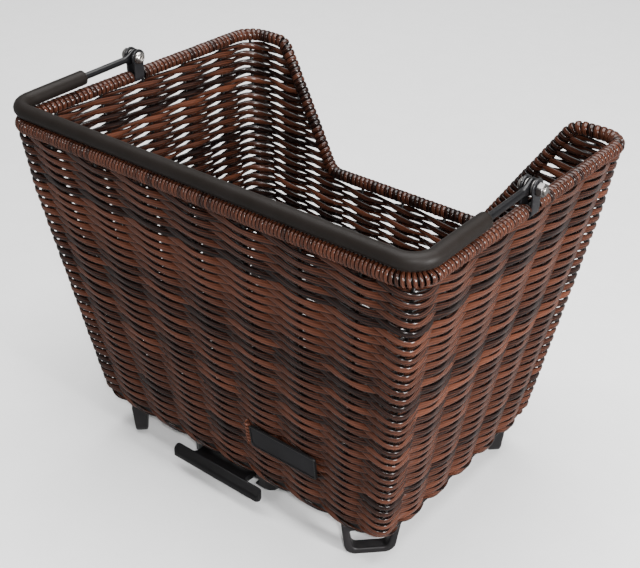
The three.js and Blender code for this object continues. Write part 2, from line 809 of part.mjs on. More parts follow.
function clampPlate() {
  const x = screwSpacingX / 2 + clampPlateOverhang;
  const y = screwSpacingY / 2 + clampPlateOverhang;
  const under = floorTop + seat;
  const corners = [[-x, -y], [x, -y], [x, y], [-x, y]];
  const shape = roundedShape(corners, corners.map(() => clampPlateCorner), 3);
  const over = under + clampPlateThickness;
  const outer = alongZ(shape, under, over).translate(adapterFromMiddleX, adapterMiddleY, 0);
  return adapterScrewPlaces.reduce((plate, place) => {
    const hole = uprightDisc(place, adapterScrewRadius + seat, under - 1, over + 1, 8);
    return plate.subtract(toSolid(hole));
  }, toSolid(outer));
}

function adapterScrew() {
  const under = floorTop + seat + clampPlateThickness + seat;
  const top = under + adapterScrewHeadHeight;
  const tip = adapterTop - adapterScrewBite;
  const screw = lathe([
    [0, tip], [adapterScrewRadius, tip], [adapterScrewRadius, under], [adapterScrewHead, under],
    [adapterScrewHead, under + screwHeadRim], [adapterScrewHead - 1.5, top - 0.2], [0, top],
  ], 12);
  const slot = alongZ(hexagon(adapterScrewSocket), top - adapterScrewSocketDepth, top + 1);
  return toSolid(screw).subtract(toSolid(slot));
}

function hexagon(acrossFlats) {
  return roundDisc(acrossFlats / Math.sqrt(3), 6);
}

// Handle brackets: a strap folded round the rim wire, its two ears either side of the bail's eye

const strapInside = rimWireRadius + seat;
const strapOutside = strapInside + strapThickness;

function strapBracket(side) {
  const shape = new THREE.Shape();
  shape.moveTo(strapInside, pivotAboveRim);
  shape.lineTo(strapInside, 0);
  shape.absarc(0, 0, strapInside, 0, -Math.PI, true);
  shape.lineTo(-strapInside, pivotAboveRim);
  shape.lineTo(-strapOutside, pivotAboveRim);
  shape.lineTo(-strapOutside, 0);
  shape.absarc(0, 0, strapOutside, -Math.PI, 0, false);
  shape.lineTo(strapOutside, pivotAboveRim);
  const strap = alongY(shape, pivotY - strapWidth / 2, pivotY + strapWidth / 2, 7);
  const ear = (from, to) => alongX(roundDisc(earRadius, 16), from, to).translate(0, pivotY, pivotAboveRim);
  const hole = alongX(roundDisc(boltRadius + seat, 12), -earRadius, earRadius)
    .translate(0, pivotY, pivotAboveRim);
  return unite([strap, ear(strapInside, strapOutside), ear(-strapOutside, -strapInside)])
    .subtract(toSolid(hole))
    .translate([side * rimHalfLength, 0, rimHeight]);
}

// Pivot screws: button head inside the basket, nut outside; built pointing away from the middle

function pivotBolt(side) {
  const headFrom = strapOutside + seat;
  const end = strapOutside + seat + nutHeight + boltEndBeyondNut;
  const bolt = lathe([
    [0, -headFrom - boltHeadHeight], [boltHeadFlat, -headFrom - boltHeadHeight],
    [0.85 * boltHeadRadius, -headFrom - boltHeadHeight / 2], [boltHeadRadius, -headFrom - boltHeadEdge],
    [boltHeadRadius, -headFrom], [boltRadius, -headFrom], [boltRadius, end], [0, end],
  ], 16);
  const socket = alongZ(hexagon(socketAcrossFlats), -headFrom - boltHeadHeight - 1,
    -headFrom - boltHeadHeight + socketDepth);
  return placePivotPiece(toGeometry(toSolid(bolt).subtract(toSolid(socket))), side);
}

function pivotNut(side) {
  const from = strapOutside + seat;
  const nut = alongZ(hexagon(nutAcrossFlats), from, from + nutHeight);
  const bore = alongZ(roundDisc(boltRadius + seat, 12), from - 1, from + nutHeight + 1);
  return placePivotPiece(toGeometry(toSolid(nut).subtract(toSolid(bore))), side);
}

function pivotWasher(side, layer) {
  const near = eyeThickness / 2 + seat;
  const from = layer === 'outer' ? near : -near - washerThickness;
  const ring = alongZ(roundDisc(washerRadius, 16), from, from + washerThickness);
  const bore = alongZ(roundDisc(boltRadius + seat, 12), from - 1, from + washerThickness + 1);
  return placePivotPiece(toGeometry(toSolid(ring).subtract(toSolid(bore))), side);
}

function placePivotPiece(geometry, side) {
  return geometry.rotateY((side * Math.PI) / 2).translate(side * rimHalfLength, pivotY, pivotZ);
}

// Bail handle: a bent rod with flattened eyes, and a foam grip over its crossbar and corners

const bailRestZ = rimHeight + wrapRadius + gripRadius + gripAboveWrap;
const bailCorners = [
  new THREE.Vector3(-rimHalfLength, pivotY, pivotZ),
  new THREE.Vector3(-rimHalfLength, -bailReach, bailRestZ),
  new THREE.Vector3(rimHalfLength, -bailReach, bailRestZ),
  new THREE.Vector3(rimHalfLength, pivotY, pivotZ),
];
const upright = () => new THREE.Vector3(0, 0, 1);

function bailRod() {
  const line = roundedLine(bailCorners, [0, bailCorner, bailCorner, 0], false, 5);
  const rod = toSolid(tube(line, rodRadius, 8, false, upright));
  const between = (from, to) => (side) => alongX(roundDisc(eyeRadius, 16), from, to)
    .translate(side * rimHalfLength, pivotY, pivotZ);
  const eye = between(-eyeThickness / 2, eyeThickness / 2);
  const hole = (side) => alongX(roundDisc(boltRadius + seat, 12), -eyeRadius, eyeRadius)
    .translate(side * rimHalfLength, pivotY, pivotZ);
  // the rod's round end is pressed flat to the eye's thickness, so what stands out of it is cut off
  const cheek = (side, from, to) => alongX(roundDisc(washerRadius + seat, 16), from, to)
    .translate(side * rimHalfLength, pivotY, pivotZ);
  return [-1, 1].reduce((body, side) => body
    .add(toSolid(eye(side)))
    .subtract(toSolid(hole(side)))
    .subtract(toSolid(cheek(side, eyeThickness / 2, eyeRadius)))
    .subtract(toSolid(cheek(side, -eyeRadius, -eyeThickness / 2))), rod);
}

function bailGrip() {
  const share = gripStartBehindPivot / (bailReach - pivotBehindMiddle);
  const start = (pivot, corner) => pivot.clone().lerp(corner, share);
  const corners = [
    start(bailCorners[0], bailCorners[1]),
    bailCorners[1],
    bailCorners[2],
    start(bailCorners[3], bailCorners[2]),
  ];
  const line = roundedLine(corners, [0, bailCorner, bailCorner, 0], false, 5);
  const clear = line.map((p) => p.clone());
  const stretch = (end, next) => clear[end].addScaledVector(
    clear[end].clone().sub(clear[next]).normalize(), rodRadius);
  stretch(0, 1);
  stretch(clear.length - 1, clear.length - 2);
  return toSolid(tube(line, gripRadius, 12, false, upright))
    .subtract(toSolid(tube(clear, rodRadius + seat, 8, false, upright)));
}

// The basket's group; its middle is set so that the origin lies under the middle of the whole

const basket = new THREE.Group();
const frontReach = rimHalfDepth + wrapRadius;
const rearReach = Math.max(bailReach + gripRadius, frontReach);
basket.position.y = (rearReach - frontReach) / 2;

function addPiece(name, solid, material, parent = basket) {
  const geometry = solid.isBufferGeometry ? solid : toGeometry(solid);
  const mesh = new THREE.Mesh(geometry, material);
  mesh.name = name;
  parent.add(mesh);
  return mesh;
}

addPiece('wire_frame', wireFrame, materials.wire);
addPiece('woven_wall', wovenWall, materials.strand);
addPiece('woven_floor', wovenFloor(), materials.strand);
addPiece('rear_rim_wrap', rearWrap, materials.wrap);
addPiece('front_rim_wrap', frontWrap, materials.wrap);

for (const place of footPlaces) {
  const foot = addPiece(`foot_${place.name}`, footSolid(), materials.plastic);
  foot.position.set(place.x, place.y, 0);
  foot.rotation.z = place.x * place.y < 0 ? quarter / 2 : -quarter / 2;
  const screw = addPiece(`foot_screw_${place.name}`, footScrew(), materials.stainless);
  screw.position.set(place.x, place.y, 0);
}

const adapter = new THREE.Group();
adapter.position.x = adapterFromMiddleX;
basket.add(adapter);
addPiece('adapter_housing', adapterHousing(), materials.darkPlastic, adapter);
addPiece('pull_handle', pullHandle(), materials.darkPlastic, adapter);
addPiece('pull_spring', returnSpring(), materials.spring, adapter);
addPiece('clamp_plate', clampPlate(), materials.darkPlastic);
for (const place of adapterScrewPlaces) {
  const screw = addPiece(`adapter_screw_${place.name}`, adapterScrew(), materials.stainless);
  screw.position.set(place.x, place.y, 0);
}

for (const [name, side] of [['left', -1], ['right', 1]]) {
  addPiece(`bracket_${name}`, strapBracket(side), materials.wire);
  addPiece(`pivot_bolt_${name}`, pivotBolt(side), materials.stainless);
  addPiece(`pivot_nut_${name}`, pivotNut(side), materials.stainless);
  addPiece(`pivot_washer_inner_${name}`, pivotWasher(side, 'inner'), materials.stainless);
  addPiece(`pivot_washer_outer_${name}`, pivotWasher(side, 'outer'), materials.stainless);
}

addPiece('bail_rod', bailRod(), materials.rod);
addPiece('bail_grip', bailGrip(), materials.grip);

const label = new THREE.Group();
label.applyMatrix4(labelGroup);
basket.add(label);
addPiece('label_plate', labelPlate(), materials.label, label);
for (const [name, side] of [['left', -1], ['right', 1]]) {
  const clip = addPiece(`label_clip_${name}`, labelClip(side), materials.darkPlastic, label);
  clip.position.x = (side * labelPinSpacing) / 2;
}

export default basket;
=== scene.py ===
# %% [markdown]
# # A bicycle basket, twined from cane over a wire frame
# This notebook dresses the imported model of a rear-rack bicycle basket. Its walls are twined from
# stained cane over upright wires, its rim is wound with the same cane, and a handle with a foam grip
# lies folded on the rim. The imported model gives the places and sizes; here each piece gets its form.

# %% Start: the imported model
import math

import bmesh
import bpy
import numpy as np
from mathutils import Matrix, Vector


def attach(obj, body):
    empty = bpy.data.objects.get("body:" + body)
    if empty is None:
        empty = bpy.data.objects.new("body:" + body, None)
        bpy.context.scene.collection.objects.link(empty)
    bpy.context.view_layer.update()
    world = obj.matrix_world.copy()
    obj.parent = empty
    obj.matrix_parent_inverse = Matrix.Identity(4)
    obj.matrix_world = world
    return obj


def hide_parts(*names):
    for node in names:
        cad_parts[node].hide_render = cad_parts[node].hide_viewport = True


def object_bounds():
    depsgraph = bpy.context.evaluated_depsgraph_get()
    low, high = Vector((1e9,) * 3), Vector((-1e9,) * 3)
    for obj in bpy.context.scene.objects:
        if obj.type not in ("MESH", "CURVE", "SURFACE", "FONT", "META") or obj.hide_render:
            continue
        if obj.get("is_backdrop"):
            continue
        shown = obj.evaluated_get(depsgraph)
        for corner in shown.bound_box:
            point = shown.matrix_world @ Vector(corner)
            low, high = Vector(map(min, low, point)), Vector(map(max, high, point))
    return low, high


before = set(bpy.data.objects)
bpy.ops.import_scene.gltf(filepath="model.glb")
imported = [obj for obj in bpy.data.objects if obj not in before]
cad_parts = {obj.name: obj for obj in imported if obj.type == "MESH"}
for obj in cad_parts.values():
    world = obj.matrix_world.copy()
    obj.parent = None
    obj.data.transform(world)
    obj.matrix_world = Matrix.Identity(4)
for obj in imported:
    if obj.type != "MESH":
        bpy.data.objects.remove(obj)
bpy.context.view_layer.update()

# %% [markdown]
# ## Sizes
# Lengths are in millimetres, as a maker would write them, with the basket's middle at x = 0, y = 0.
# The rear, with the label, faces -y, and the saddle cut-out +y. Points turn into metres when they
# become a mesh.

# %% Sizes of the basket
MM = 0.001
RIM_LENGTH, RIM_DEPTH, RIM_Z = 204.0, 145.5, 308.0  # half sizes and height of the rim wire
BASE_LENGTH, BASE_DEPTH, BASE_Z = 160.0, 111.5, 40.0  # the same of the base ring
CORNER = 20.0  # their corners' radius
LEAN_X = (RIM_LENGTH - BASE_LENGTH) / (RIM_Z - BASE_Z)
LEAN_Y = (RIM_DEPTH - BASE_DEPTH) / (RIM_Z - BASE_Z)
RIM_WIRE, RING_WIRE, STAKE = 3.5, 2.5, 1.5  # radii
LONG_STAKES, LONG_PITCH = 7, 53.0  # upright wires of a long side, without the corners' own
SHORT_STAKES, SHORT_PITCH = 5, 51.0
STAKES = 2 * (LONG_STAKES + SHORT_STAKES) + 4
FRONT_FIRST = LONG_STAKES + SHORT_STAKES + 3  # numbers of the first and last front upright
FRONT_LAST = FRONT_FIRST + LONG_STAKES - 1
SADDLE_Z, SADDLE_X, PEAK_X, SADDLE_CORNER = 196.0, 85.0, 158.0, 16.0
PIVOT_Y, PIVOT_Z = -7.0, 325.5
FOOT_X, FOOT_Y = BASE_LENGTH - 23.5, BASE_DEPTH - 18.0
ADAPTER_X, ADAPTER_Y = -10.0, -14.0
SCREW_X, SCREW_Y = 38, 60  # from the adapter's middle to its screws
WIRE_GAP_X, WIRE_GAP_Y, FOOT_GAP = 47, 51, 22  # between wires of the floor, and from foot to wire
CROSS_X = [FOOT_GAP - FOOT_X, ADAPTER_X - WIRE_GAP_X, ADAPTER_X, ADAPTER_X + WIRE_GAP_X,
           FOOT_X - FOOT_GAP]
CROSS_Y = [ADAPTER_Y - WIRE_GAP_Y, ADAPTER_Y, ADAPTER_Y + WIRE_GAP_Y]
QUARTERS = [(-1, -1), (1, -1), (1, 1), (-1, 1)]
QUARTER_NAMES = ["rear_left", "rear_right", "front_right", "front_left"]
SIDES = [(-1, "left"), (1, "right")]


def half_length(z):
    """Half the basket's length at height z: a straight line from the base's to the rim's."""
    return BASE_LENGTH + LEAN_X * (z - BASE_Z)


def half_depth(z):
    """Half the basket's depth at height z."""
    return BASE_DEPTH + LEAN_Y * (z - BASE_Z)


# %% [markdown]
# ## Meshes from arrays
# Every new piece is a set of grids: rows of rings along a path. Arrays of points and of corner
# numbers turn into a mesh at once, so no vertex is ever handled by itself.

# %% Grids, and pieces made of them
def placed(name, data):
    """A new object in the scene."""
    made = bpy.data.objects.new(name, data)
    bpy.context.scene.collection.objects.link(made)
    return made


def grid_faces(rings, columns, closed):
    """Quads of a grid of rings: each joins two neighbouring points of one ring with the same two of
    the next, and where closed is true, the last ring joins the first."""
    ring = np.arange(rings if closed else rings - 1)[:, None]
    column = np.arange(columns)
    here, after, beside = ring * columns, (ring + 1) % rings * columns, (column + 1) % columns
    return np.stack([here + column, here + beside, after + beside, after + column], -1).reshape(-1, 4)


def capped(rings, columns):
    """The quads of an open grid of rings, and the two faces that close its ends."""
    ring = np.arange(columns)
    return [grid_faces(rings, columns, False), np.stack([ring[::-1], ring + (rings - 1) * columns])]


class Bundle:
    """Collects grids that become one piece, with the marks that the cane's material reads."""

    def __init__(self):
        self.points, self.faces, self.marks, self.count = [], [], [], 0

    def add(self, points, faces, *marks):
        """points is (n, 3), faces a list of (k, corners) arrays, a mark an array with n rows."""
        self.points.append(points)
        self.faces += [f + self.count for f in faces]
        self.marks += [marks] if marks else []
        self.count += len(points)
        return self

    def add_cane(self, parts, run, shade, shift=0.0):
        """Adds a tube of cane. run, the place along it, and shade are for each ring. The lay joins run
        to the cosine and sine round the strand, so that noise follows it without a seam."""
        points, faces, lay = parts
        sides = len(points) // len(run)
        shade = np.repeat(np.broadcast_to(shade, len(run)), sides)
        lays = np.column_stack([np.repeat(run, sides), lay[:, 0] * 0.9 + shift, lay[:, 1] * 0.9])
        return self.add(points, faces, shade, lays, lay[:, 0])

    def make(self, name):
        """The piece. Faces with five corners or more are caps, and stay flat."""
        faces = sorted(self.faces, key=lambda f: f.shape[1])
        sizes = np.concatenate([np.full(len(f), f.shape[1]) for f in faces])
        loops = np.concatenate([f.ravel() for f in faces]).astype(np.int32)
        mesh = bpy.data.meshes.new(name)
        mesh.vertices.add(self.count)
        mesh.vertices.foreach_set("co", (np.concatenate(self.points) * MM).astype(np.float32).ravel())
        mesh.loops.add(len(loops))
        mesh.loops.foreach_set("vertex_index", loops)
        mesh.polygons.add(len(sizes))
        mesh.polygons.foreach_set("loop_start", (np.cumsum(sizes) - sizes).astype(np.int32))
        mesh.polygons.foreach_set("use_smooth", sizes < 5)
        for mark, values in zip(("shade", "lay", "rib"), zip(*self.marks)):
            values = np.concatenate(values).astype(np.float32)
            kind, field = ("FLOAT", "value") if values.ndim == 1 else ("FLOAT_VECTOR", "vector")
            mesh.attributes.new(mark, kind, "POINT").data.foreach_set(field, values.ravel())
        mesh.update()
        mesh.validate()
        print(f"{name}: {(sizes - 2).sum()} triangles")
        return placed(name, mesh)


def dress(piece, material, node_name, body="basket"):
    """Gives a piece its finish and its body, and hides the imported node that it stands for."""
    piece.data.materials.append(material)
    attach(piece, body)
    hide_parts(node_name)
    return piece


# %% Tubes with an oval section
def unit(vectors):
    """Each vector divided by its length."""
    return vectors / np.linalg.norm(vectors, axis=-1, keepdims=True)


def tube(line, wide, thick, half_wide, half_thick, sides=10, closed=False, square=1.0, section=None):
    """A tube along line, (n, 3), whose section is an oval, flatter where square is below 1, or has
    the given points (across, out) from -1 to 1. wide and thick are its axes, and wide x thick points
    along the line. Returns points, faces and each point's place across and out."""
    if section is None:
        angle = 2 * np.pi * np.arange(sides) / sides
        cosine, sine = np.cos(angle), np.sin(angle)
        across = np.sign(cosine) * np.abs(cosine) ** square
        out = np.sign(sine) * np.abs(sine) ** square
    else:
        sides = len(section)
        cosine, sine = across, out = section.T
    across = np.reshape(half_wide, (-1, 1)) * across
    out = np.reshape(half_thick, (-1, 1)) * out
    points = line[:, None] + wide[:, None] * across[..., None] + thick[:, None] * out[..., None]
    faces = [grid_faces(len(line), sides, True)] if closed else capped(len(line), sides)
    return points.reshape(-1, 3), faces, np.tile(np.stack([cosine, sine], -1), (len(line), 1))


# %% [markdown]
# ## The finishes
# The cane has fine lengthways ribs, colours from near-black to a reddish brown, and a satin gloss.
# Each strand carries three marks: its shade, from 0 for the darkest to 1 for the lightest, its lay, a
# place along and around the strand, and its rib, the place across its face from -1 to 1. One group
# makes the ribs from a cosine of that place and paints light on their crests and shade in the grooves
# between them, stretches noise along the strand for streaks, and darkens the two edges with painted
# shade where neighbouring strands meet. A second group gives the other finishes a soft mottle and fine
# grain.

# %% Node helpers
def plug(tree, socket, value):
    """Links an input to an output, or sets it to a plain value."""
    if isinstance(value, bpy.types.NodeSocket):
        tree.links.new(value, socket)
    else:
        socket.default_value = value


def node(tree, kind, values=None, **settings):
    """Adds a node; settings are its own fields and values its inputs."""
    made = tree.nodes.new(kind)
    for field, value in settings.items():
        setattr(made, field, value)
    for socket, value in (values or {}).items():
        plug(tree, made.inputs[socket], value)
    return made


def mixed(tree, share, first, second):
    """The colour between two others; inputs 6 and 7 of this node are colours."""
    return node(tree, "ShaderNodeMix", {"Factor": share, 6: first, 7: second},
                data_type="RGBA").outputs[2]


def maths(tree, operation, first, second=0.0, clamp=False):
    """One calculation on one or two values."""
    return node(tree, "ShaderNodeMath", {0: first, 1: second}, operation=operation,
                use_clamp=clamp).outputs[0]


def times(tree, value, factor, less=0.0):
    """A value, less another, times a factor."""
    return maths(tree, "MULTIPLY", maths(tree, "SUBTRACT", value, less) if less else value, factor)


def total(tree, first, *others):
    """The sum of several values."""
    for other in others:
        first = maths(tree, "ADD", first, other)
    return first


def noise(tree, place, scale, detail, roughness=0.5):
    """A noise's value at a place."""
    return node(tree, "ShaderNodeTexNoise", {"Vector": place, "Scale": scale, "Detail": detail,
                                             "Roughness": roughness}).outputs["Fac"]


def mark(tree, name, output):
    """A mark that the piece carries."""
    return node(tree, "ShaderNodeAttribute", attribute_name=name).outputs[output]


def surface_group(name, inputs):
    """A new group with these inputs, a list being a colour; then what they give, and the place."""
    group = bpy.data.node_groups.new(name, "ShaderNodeTree")
    outputs = {"Colour": [0.0, 0.0, 0.0, 1.0], "Roughness": 0.5, "Height": 0.0}
    for way, sockets in (("INPUT", inputs), ("OUTPUT", outputs)):
        for label, value in sockets.items():
            kind = "NodeSocketColor" if isinstance(value, list) else "NodeSocketFloat"
            group.interface.new_socket(label, in_out=way, socket_type=kind).default_value = value
    place = node(group, "ShaderNodeTexCoord").outputs["Object"]
    return group, node(group, "NodeGroupInput").outputs, place


def give(tree, base, rough, height):
    """Connects a group's three outputs."""
    node(tree, "NodeGroupOutput", {"Colour": base, "Roughness": rough, "Height": height})
    print(tree.name, "has", len(tree.nodes), "nodes")


def colour(code):
    """A colour written as on the web, such as 5a3222, as the linear values that a shader uses."""
    parts = [int(code[i:i + 2], 16) / 255 for i in (0, 2, 4)]
    return [c / 12.92 if c <= 0.04045 else ((c + 0.055) / 1.055) ** 2.4 for c in parts] + [1.0]


# %% The cane's ribs and streaks
cane_lay, given, place = surface_group(
    "cane_lay", {"Dark": colour("0f0807"), "Light": colour("5c3424"), "Streak": 0.35, "Ribs": 3.0})
tree = cane_lay
lay, rib = mark(tree, "lay", "Vector"), mark(tree, "rib", "Fac")
ridges = noise(tree, lay, 7.0, 3.0, 0.6)
streaks = noise(tree, lay, 1.6, 2.0)
mottle = noise(tree, place, 60.0, 3.0)
# Painted light and shade: the ribs lighten the colour on their crests and darken it in the grooves
# between them.
wave = maths(tree, "COSINE", times(tree, times(tree, rib, given["Ribs"]), math.pi))
ribs = total(tree, times(tree, wave, 0.5), 0.5)
# Painted shade: the colour darkens towards both edges of a strand, where it meets its neighbours.
edge = maths(tree, "POWER", maths(tree, "ABSOLUTE", rib), 4.0)
shift = total(tree, times(tree, streaks, given["Streak"], 0.5), times(tree, ridges, 0.5, 0.5),
              times(tree, ribs, 0.34, 0.6), times(tree, edge, -0.6))
share = maths(tree, "ADD", mark(tree, "shade", "Fac"), shift, clamp=True)
give(tree, mixed(tree, share, given["Dark"], given["Light"]),
     total(tree, times(tree, ridges, 0.14), times(tree, mottle, 0.1), 0.1),
     total(tree, times(tree, ribs, 0.6), times(tree, ridges, 0.6)))

# %% A soft mottle and fine grain for the other finishes
fine_grain, given, place = surface_group(
    "fine_grain", {"Main": colour("2a2829"), "Worn": colour("3a3838"), "Grain Scale": 900.0,
                   "Mottle Scale": 25.0, "Smoothest": 0.4, "Roughest": 0.6})
tree = fine_grain
grain = noise(tree, place, given["Grain Scale"], 2.0)
mottle = noise(tree, place, given["Mottle Scale"], 4.0, 0.65)
spread = maths(tree, "MULTIPLY", maths(tree, "SUBTRACT", mottle, 0.35), 3.0, clamp=True)
span = maths(tree, "SUBTRACT", given["Roughest"], given["Smoothest"])
both = total(tree, times(tree, grain, 0.5), times(tree, mottle, 0.5))
give(tree, mixed(tree, spread, given["Main"], given["Worn"]),
     total(tree, times(tree, both, span), given["Smoothest"]), grain)


# %% Materials from the two groups
def finish(name, group, values, bump, metal=0.0, coat=0.0, shine=0.5):
    """A material whose colour, roughness and bump, a strength and a depth in metres, come from a
    group; the shader's own sockets hold what is the same all over."""
    material = bpy.data.materials.new(name)
    material.use_nodes = True
    tree = material.node_tree
    surface = node(tree, "ShaderNodeGroup", values, node_tree=group).outputs
    relief = node(tree, "ShaderNodeBump", {"Strength": bump[0], "Distance": bump[1],
                                           "Height": surface["Height"]}).outputs["Normal"]
    shader = tree.nodes["Principled BSDF"]
    for socket, value in (("Base Color", surface["Colour"]), ("Roughness", surface["Roughness"]),
                          ("Normal", relief), ("Metallic", metal), ("Coat Weight", coat),
                          ("Coat Roughness", 0.14), ("Specular IOR Level", shine)):
        plug(tree, shader.inputs[socket], value)
    return material


def plain(name, main, worn, rough, grain=900.0, mottle=25.0, bump=(0.15, 0.0002), **more):
    """A finish from the fine_grain group: two colours and the roughness between its two ends."""
    values = {"Main": colour(main), "Worn": colour(worn), "Grain Scale": grain, "Mottle Scale": mottle,
              "Smoothest": rough[0], "Roughest": rough[1]}
    return finish(name, fine_grain, values, bump, **more)


cane = finish("cane", cane_lay, {}, (0.35, 0.0003), coat=0.1, shine=0.3)
wire_paint = plain("wire_paint", "080707", "0e0d0d", (0.3, 0.45), shine=0.3)
rod_paint = plain("rod_paint", "08080a", "100f11", (0.28, 0.4), shine=0.4)
strap_paint = plain("strap_paint", "121214", "1e1d1f", (0.28, 0.4), shine=0.4)
foam = plain("foam", "16120f", "1b1715", (0.42, 0.55), grain=1500.0, mottle=40.0, bump=(0.4, 0.0002),
             shine=0.16)
foot_plastic = plain("foot_plastic", "161415", "1e1c1d", (0.38, 0.55), grain=1300.0, shine=0.3)
adapter_plastic = plain("adapter_plastic", "080708", "0e0d0e", (0.3, 0.46), grain=1300.0, shine=0.3)
bright_steel = plain("bright_steel", "c4c0bb", "a9a6a2", (0.2, 0.36), metal=1.0, grain=600.0)
dull_steel = plain("dull_steel", "8c8a88", "6f6d6c", (0.32, 0.5), metal=1.0, grain=600.0)
label_plastic = plain("label_plastic", "151416", "1b1a1d", (0.45, 0.6), grain=1100.0, shine=0.2)
floor_paper = plain("floor_paper", "f4f4f4", "f1f1f1", (0.8, 0.9))
print(len(bpy.data.materials), "materials")

# %% [markdown]
# ## Places round the wall
# The wall is a rounded rectangle that grows upwards. A place on it is said by one number: 0 at the
# rear left corner post, 1 more at each upright wire, anticlockwise seen from above, and 28 back at
# the start. Between the wires the place moves evenly, straight along a side and round a corner's arc.

# %% From a number to a place on the wall
def wall_table(z):
    """The turning points of the wall at height z: stake numbers, shares of the half sides, angles."""
    arc = CORNER * np.pi / 4
    sides = []
    for count, pitch, half, here in ((LONG_STAKES, LONG_PITCH, RIM_LENGTH, half_length(z)),
                                     (SHORT_STAKES, SHORT_PITCH, RIM_DEPTH, half_depth(z))):
        shares = (np.arange(count) - (count - 1) / 2) * pitch / (half - CORNER)
        rest = (1 - shares[-1]) * (here - CORNER)
        sides.append((shares, arc / (arc + rest)))
    rows, number = [], 0.0
    for side in range(4):
        shares, part = sides[side % 2]
        (x0, y0), (x1, y1) = QUARTERS[side], QUARTERS[(side + 1) % 4]
        facing = -90.0 + 90.0 * side
        rows += [(number, x0, y0, facing - 45), (number + part, x0, y0, facing)]
        rows += [(number + k, x0 + (x1 - x0) * way, y0 + (y1 - y0) * way, facing)
                 for k, way in enumerate((1 + shares) / 2, 1)]
        number += len(shares) + 1
        rows.append((number - part, x1, y1, facing))
    rows.append((number, -1, -1, 225.0))
    return np.array(rows).T


def wall_axes(s, z):
    """Share of each half side, level, outward and upward direction at places s of the wall at height
    z. Outward and upward lean with the wall."""
    table = wall_table(z)
    share_x, share_y, angle = (np.interp(np.mod(s, STAKES), table[0], row) for row in table[1:])
    angle = np.radians(angle)
    flat = np.stack([np.cos(angle), np.sin(angle), 0 * angle], -1)
    lean = (share_x * LEAN_X * flat[:, 0] + share_y * LEAN_Y * flat[:, 1])[:, None]
    upright = np.array([0.0, 0.0, 1.0])
    return share_x, share_y, flat, unit(flat - lean * upright), unit(flat * lean + upright)


def wall_line(s, z, height, out):
    """Points of the wall's middle surface at places s, moved by height up the wall and by out
    outwards, and the two directions there."""
    share_x, share_y, flat, outward, upward = wall_axes(s, z)
    core = np.stack([share_x * (half_length(z) - CORNER), share_y * (half_depth(z) - CORNER),
                     np.full(len(s), z)], -1)
    points = core + CORNER * flat + upward * height[:, None] + outward * out[:, None]
    return points, outward, upward


# %% [markdown]
# ## The twined wall
# Each course is two strands that change places between the upright wires: one passes outside a wire
# while the other passes inside. Along the course, a strand's distance from the wall's middle is a
# cosine and its height a sine, with the second strand opposite. Where they cross, both tilt like
# roof tiles, the upper one's lower edge outermost. All this is one formula on arrays. Drawn tight,
# the strands turn round the corner posts with a smaller radius than the frame, except near the rim.

# %% Colours along the strands
random = np.random.default_rng(11)
COURSES, COURSE_PITCH, FIRST_COURSE = 32, 8.08, 47.1
STRAND_WIDE, STRAND_THICK = 5.6, 2.8
SWING, LIFT, TILT = 3.75, 2.02, math.radians(44)  # outwards, upwards, and the angle of the tiles
BORDER = 4.1  # radius of the two strands' twist round the base ring
half_face = [(1.0, 0.0), (0.94, 0.4), (0.78, 0.72), (0.52, 0.92), (0.18, 1.0)]
CANE_FACE = np.array([*half_face, *[(-x, y) for x, y in half_face[::-1]],
                      (-0.8, -0.75), (0.0, -1.0), (0.8, -0.75)])
TIGHT, TIGHT_FADE = 10.0, 60  # radius round a corner post, and how far below the rim it is reached
PRESSED = 0.16  # how much wider a strand gets inside a wire
UNEVEN = (0.25, 0.25, 0.08, 0.04)  # how far a strand's height, swing, tilt and width wander
END_FADE, END_LEFT = 0.25, 0.12  # the part of a gap where a strand's end fades, and to what share
TUCK = 2.0  # the courses level with the saddle's floor reach so far in under its corners
STEPS = 14  # rings of a strand from wire to wire
SHADES = np.array([0.08, 0.22, 0.38, 0.5, 0.64, 0.86])
CHANCES = np.array([0.1, 0.16, 0.24, 0.24, 0.18, 0.08])


def strand_shades():
    """A shade for each stake: a strand keeps one colour for 7 to 22 stakes, then another follows."""
    shades = np.empty(STAKES)
    at = -random.integers(0, 8)
    while at < STAKES:
        run = random.integers(7, 23)
        shades[max(at, 0):at + run] = random.choice(SHADES, p=CHANCES) + random.uniform(-0.03, 0.03)
        at += run
    return shades


# %% A strand's path and section
def course_ends(z):
    """Where a course starts and ends: all the way round below the saddle cut-out, and beside it from
    one slope of the rim round the rear to the other."""
    if z < SADDLE_Z - COURSE_PITCH:
        return 0.0, float(STAKES)
    slope = (PEAK_X - SADDLE_X) / (RIM_Z - SADDLE_Z)
    reach = SADDLE_X + slope * max(z - SADDLE_Z, 0) - (TUCK if z < SADDLE_Z + COURSE_PITCH else 0)
    share = reach / (half_length(z) - CORNER)
    numbers, shares = wall_table(z)[:2]
    front = (numbers >= FRONT_FIRST) & (numbers <= FRONT_LAST)
    spots = np.interp([-share, share], shares[front][::-1], numbers[front][::-1])
    return spots[0], spots[1] + STAKES


def corner_pull(s, z):
    """How far a tight strand outside the corner post stands out from the wall's arc. Both arcs share
    their tangents, so the gap follows from the angle to the corner's diagonal."""
    share_x, share_y, flat = wall_axes(s, z)[:3]
    turned_by = np.arccos(np.clip(np.abs(flat[:, :2]).sum(-1) / math.sqrt(2), -1, 1))
    shift = (CORNER - TIGHT) * math.sqrt(2)
    small = np.sqrt(np.clip(TIGHT ** 2 - (shift * np.sin(turned_by)) ** 2, 0, None))
    small = shift * np.cos(turned_by) + small
    straight = CORNER / np.cos(np.pi / 4 - turned_by)
    reach = np.where(turned_by < np.pi / 4 - math.atan((CORNER - TIGHT) / CORNER), small, straight)
    on_arc = np.minimum(np.abs(share_x), np.abs(share_y)) > 0.9999
    return np.where(on_arc, reach - CORNER, 0.0) * min((RIM_Z - z) / TIGHT_FADE, 1)


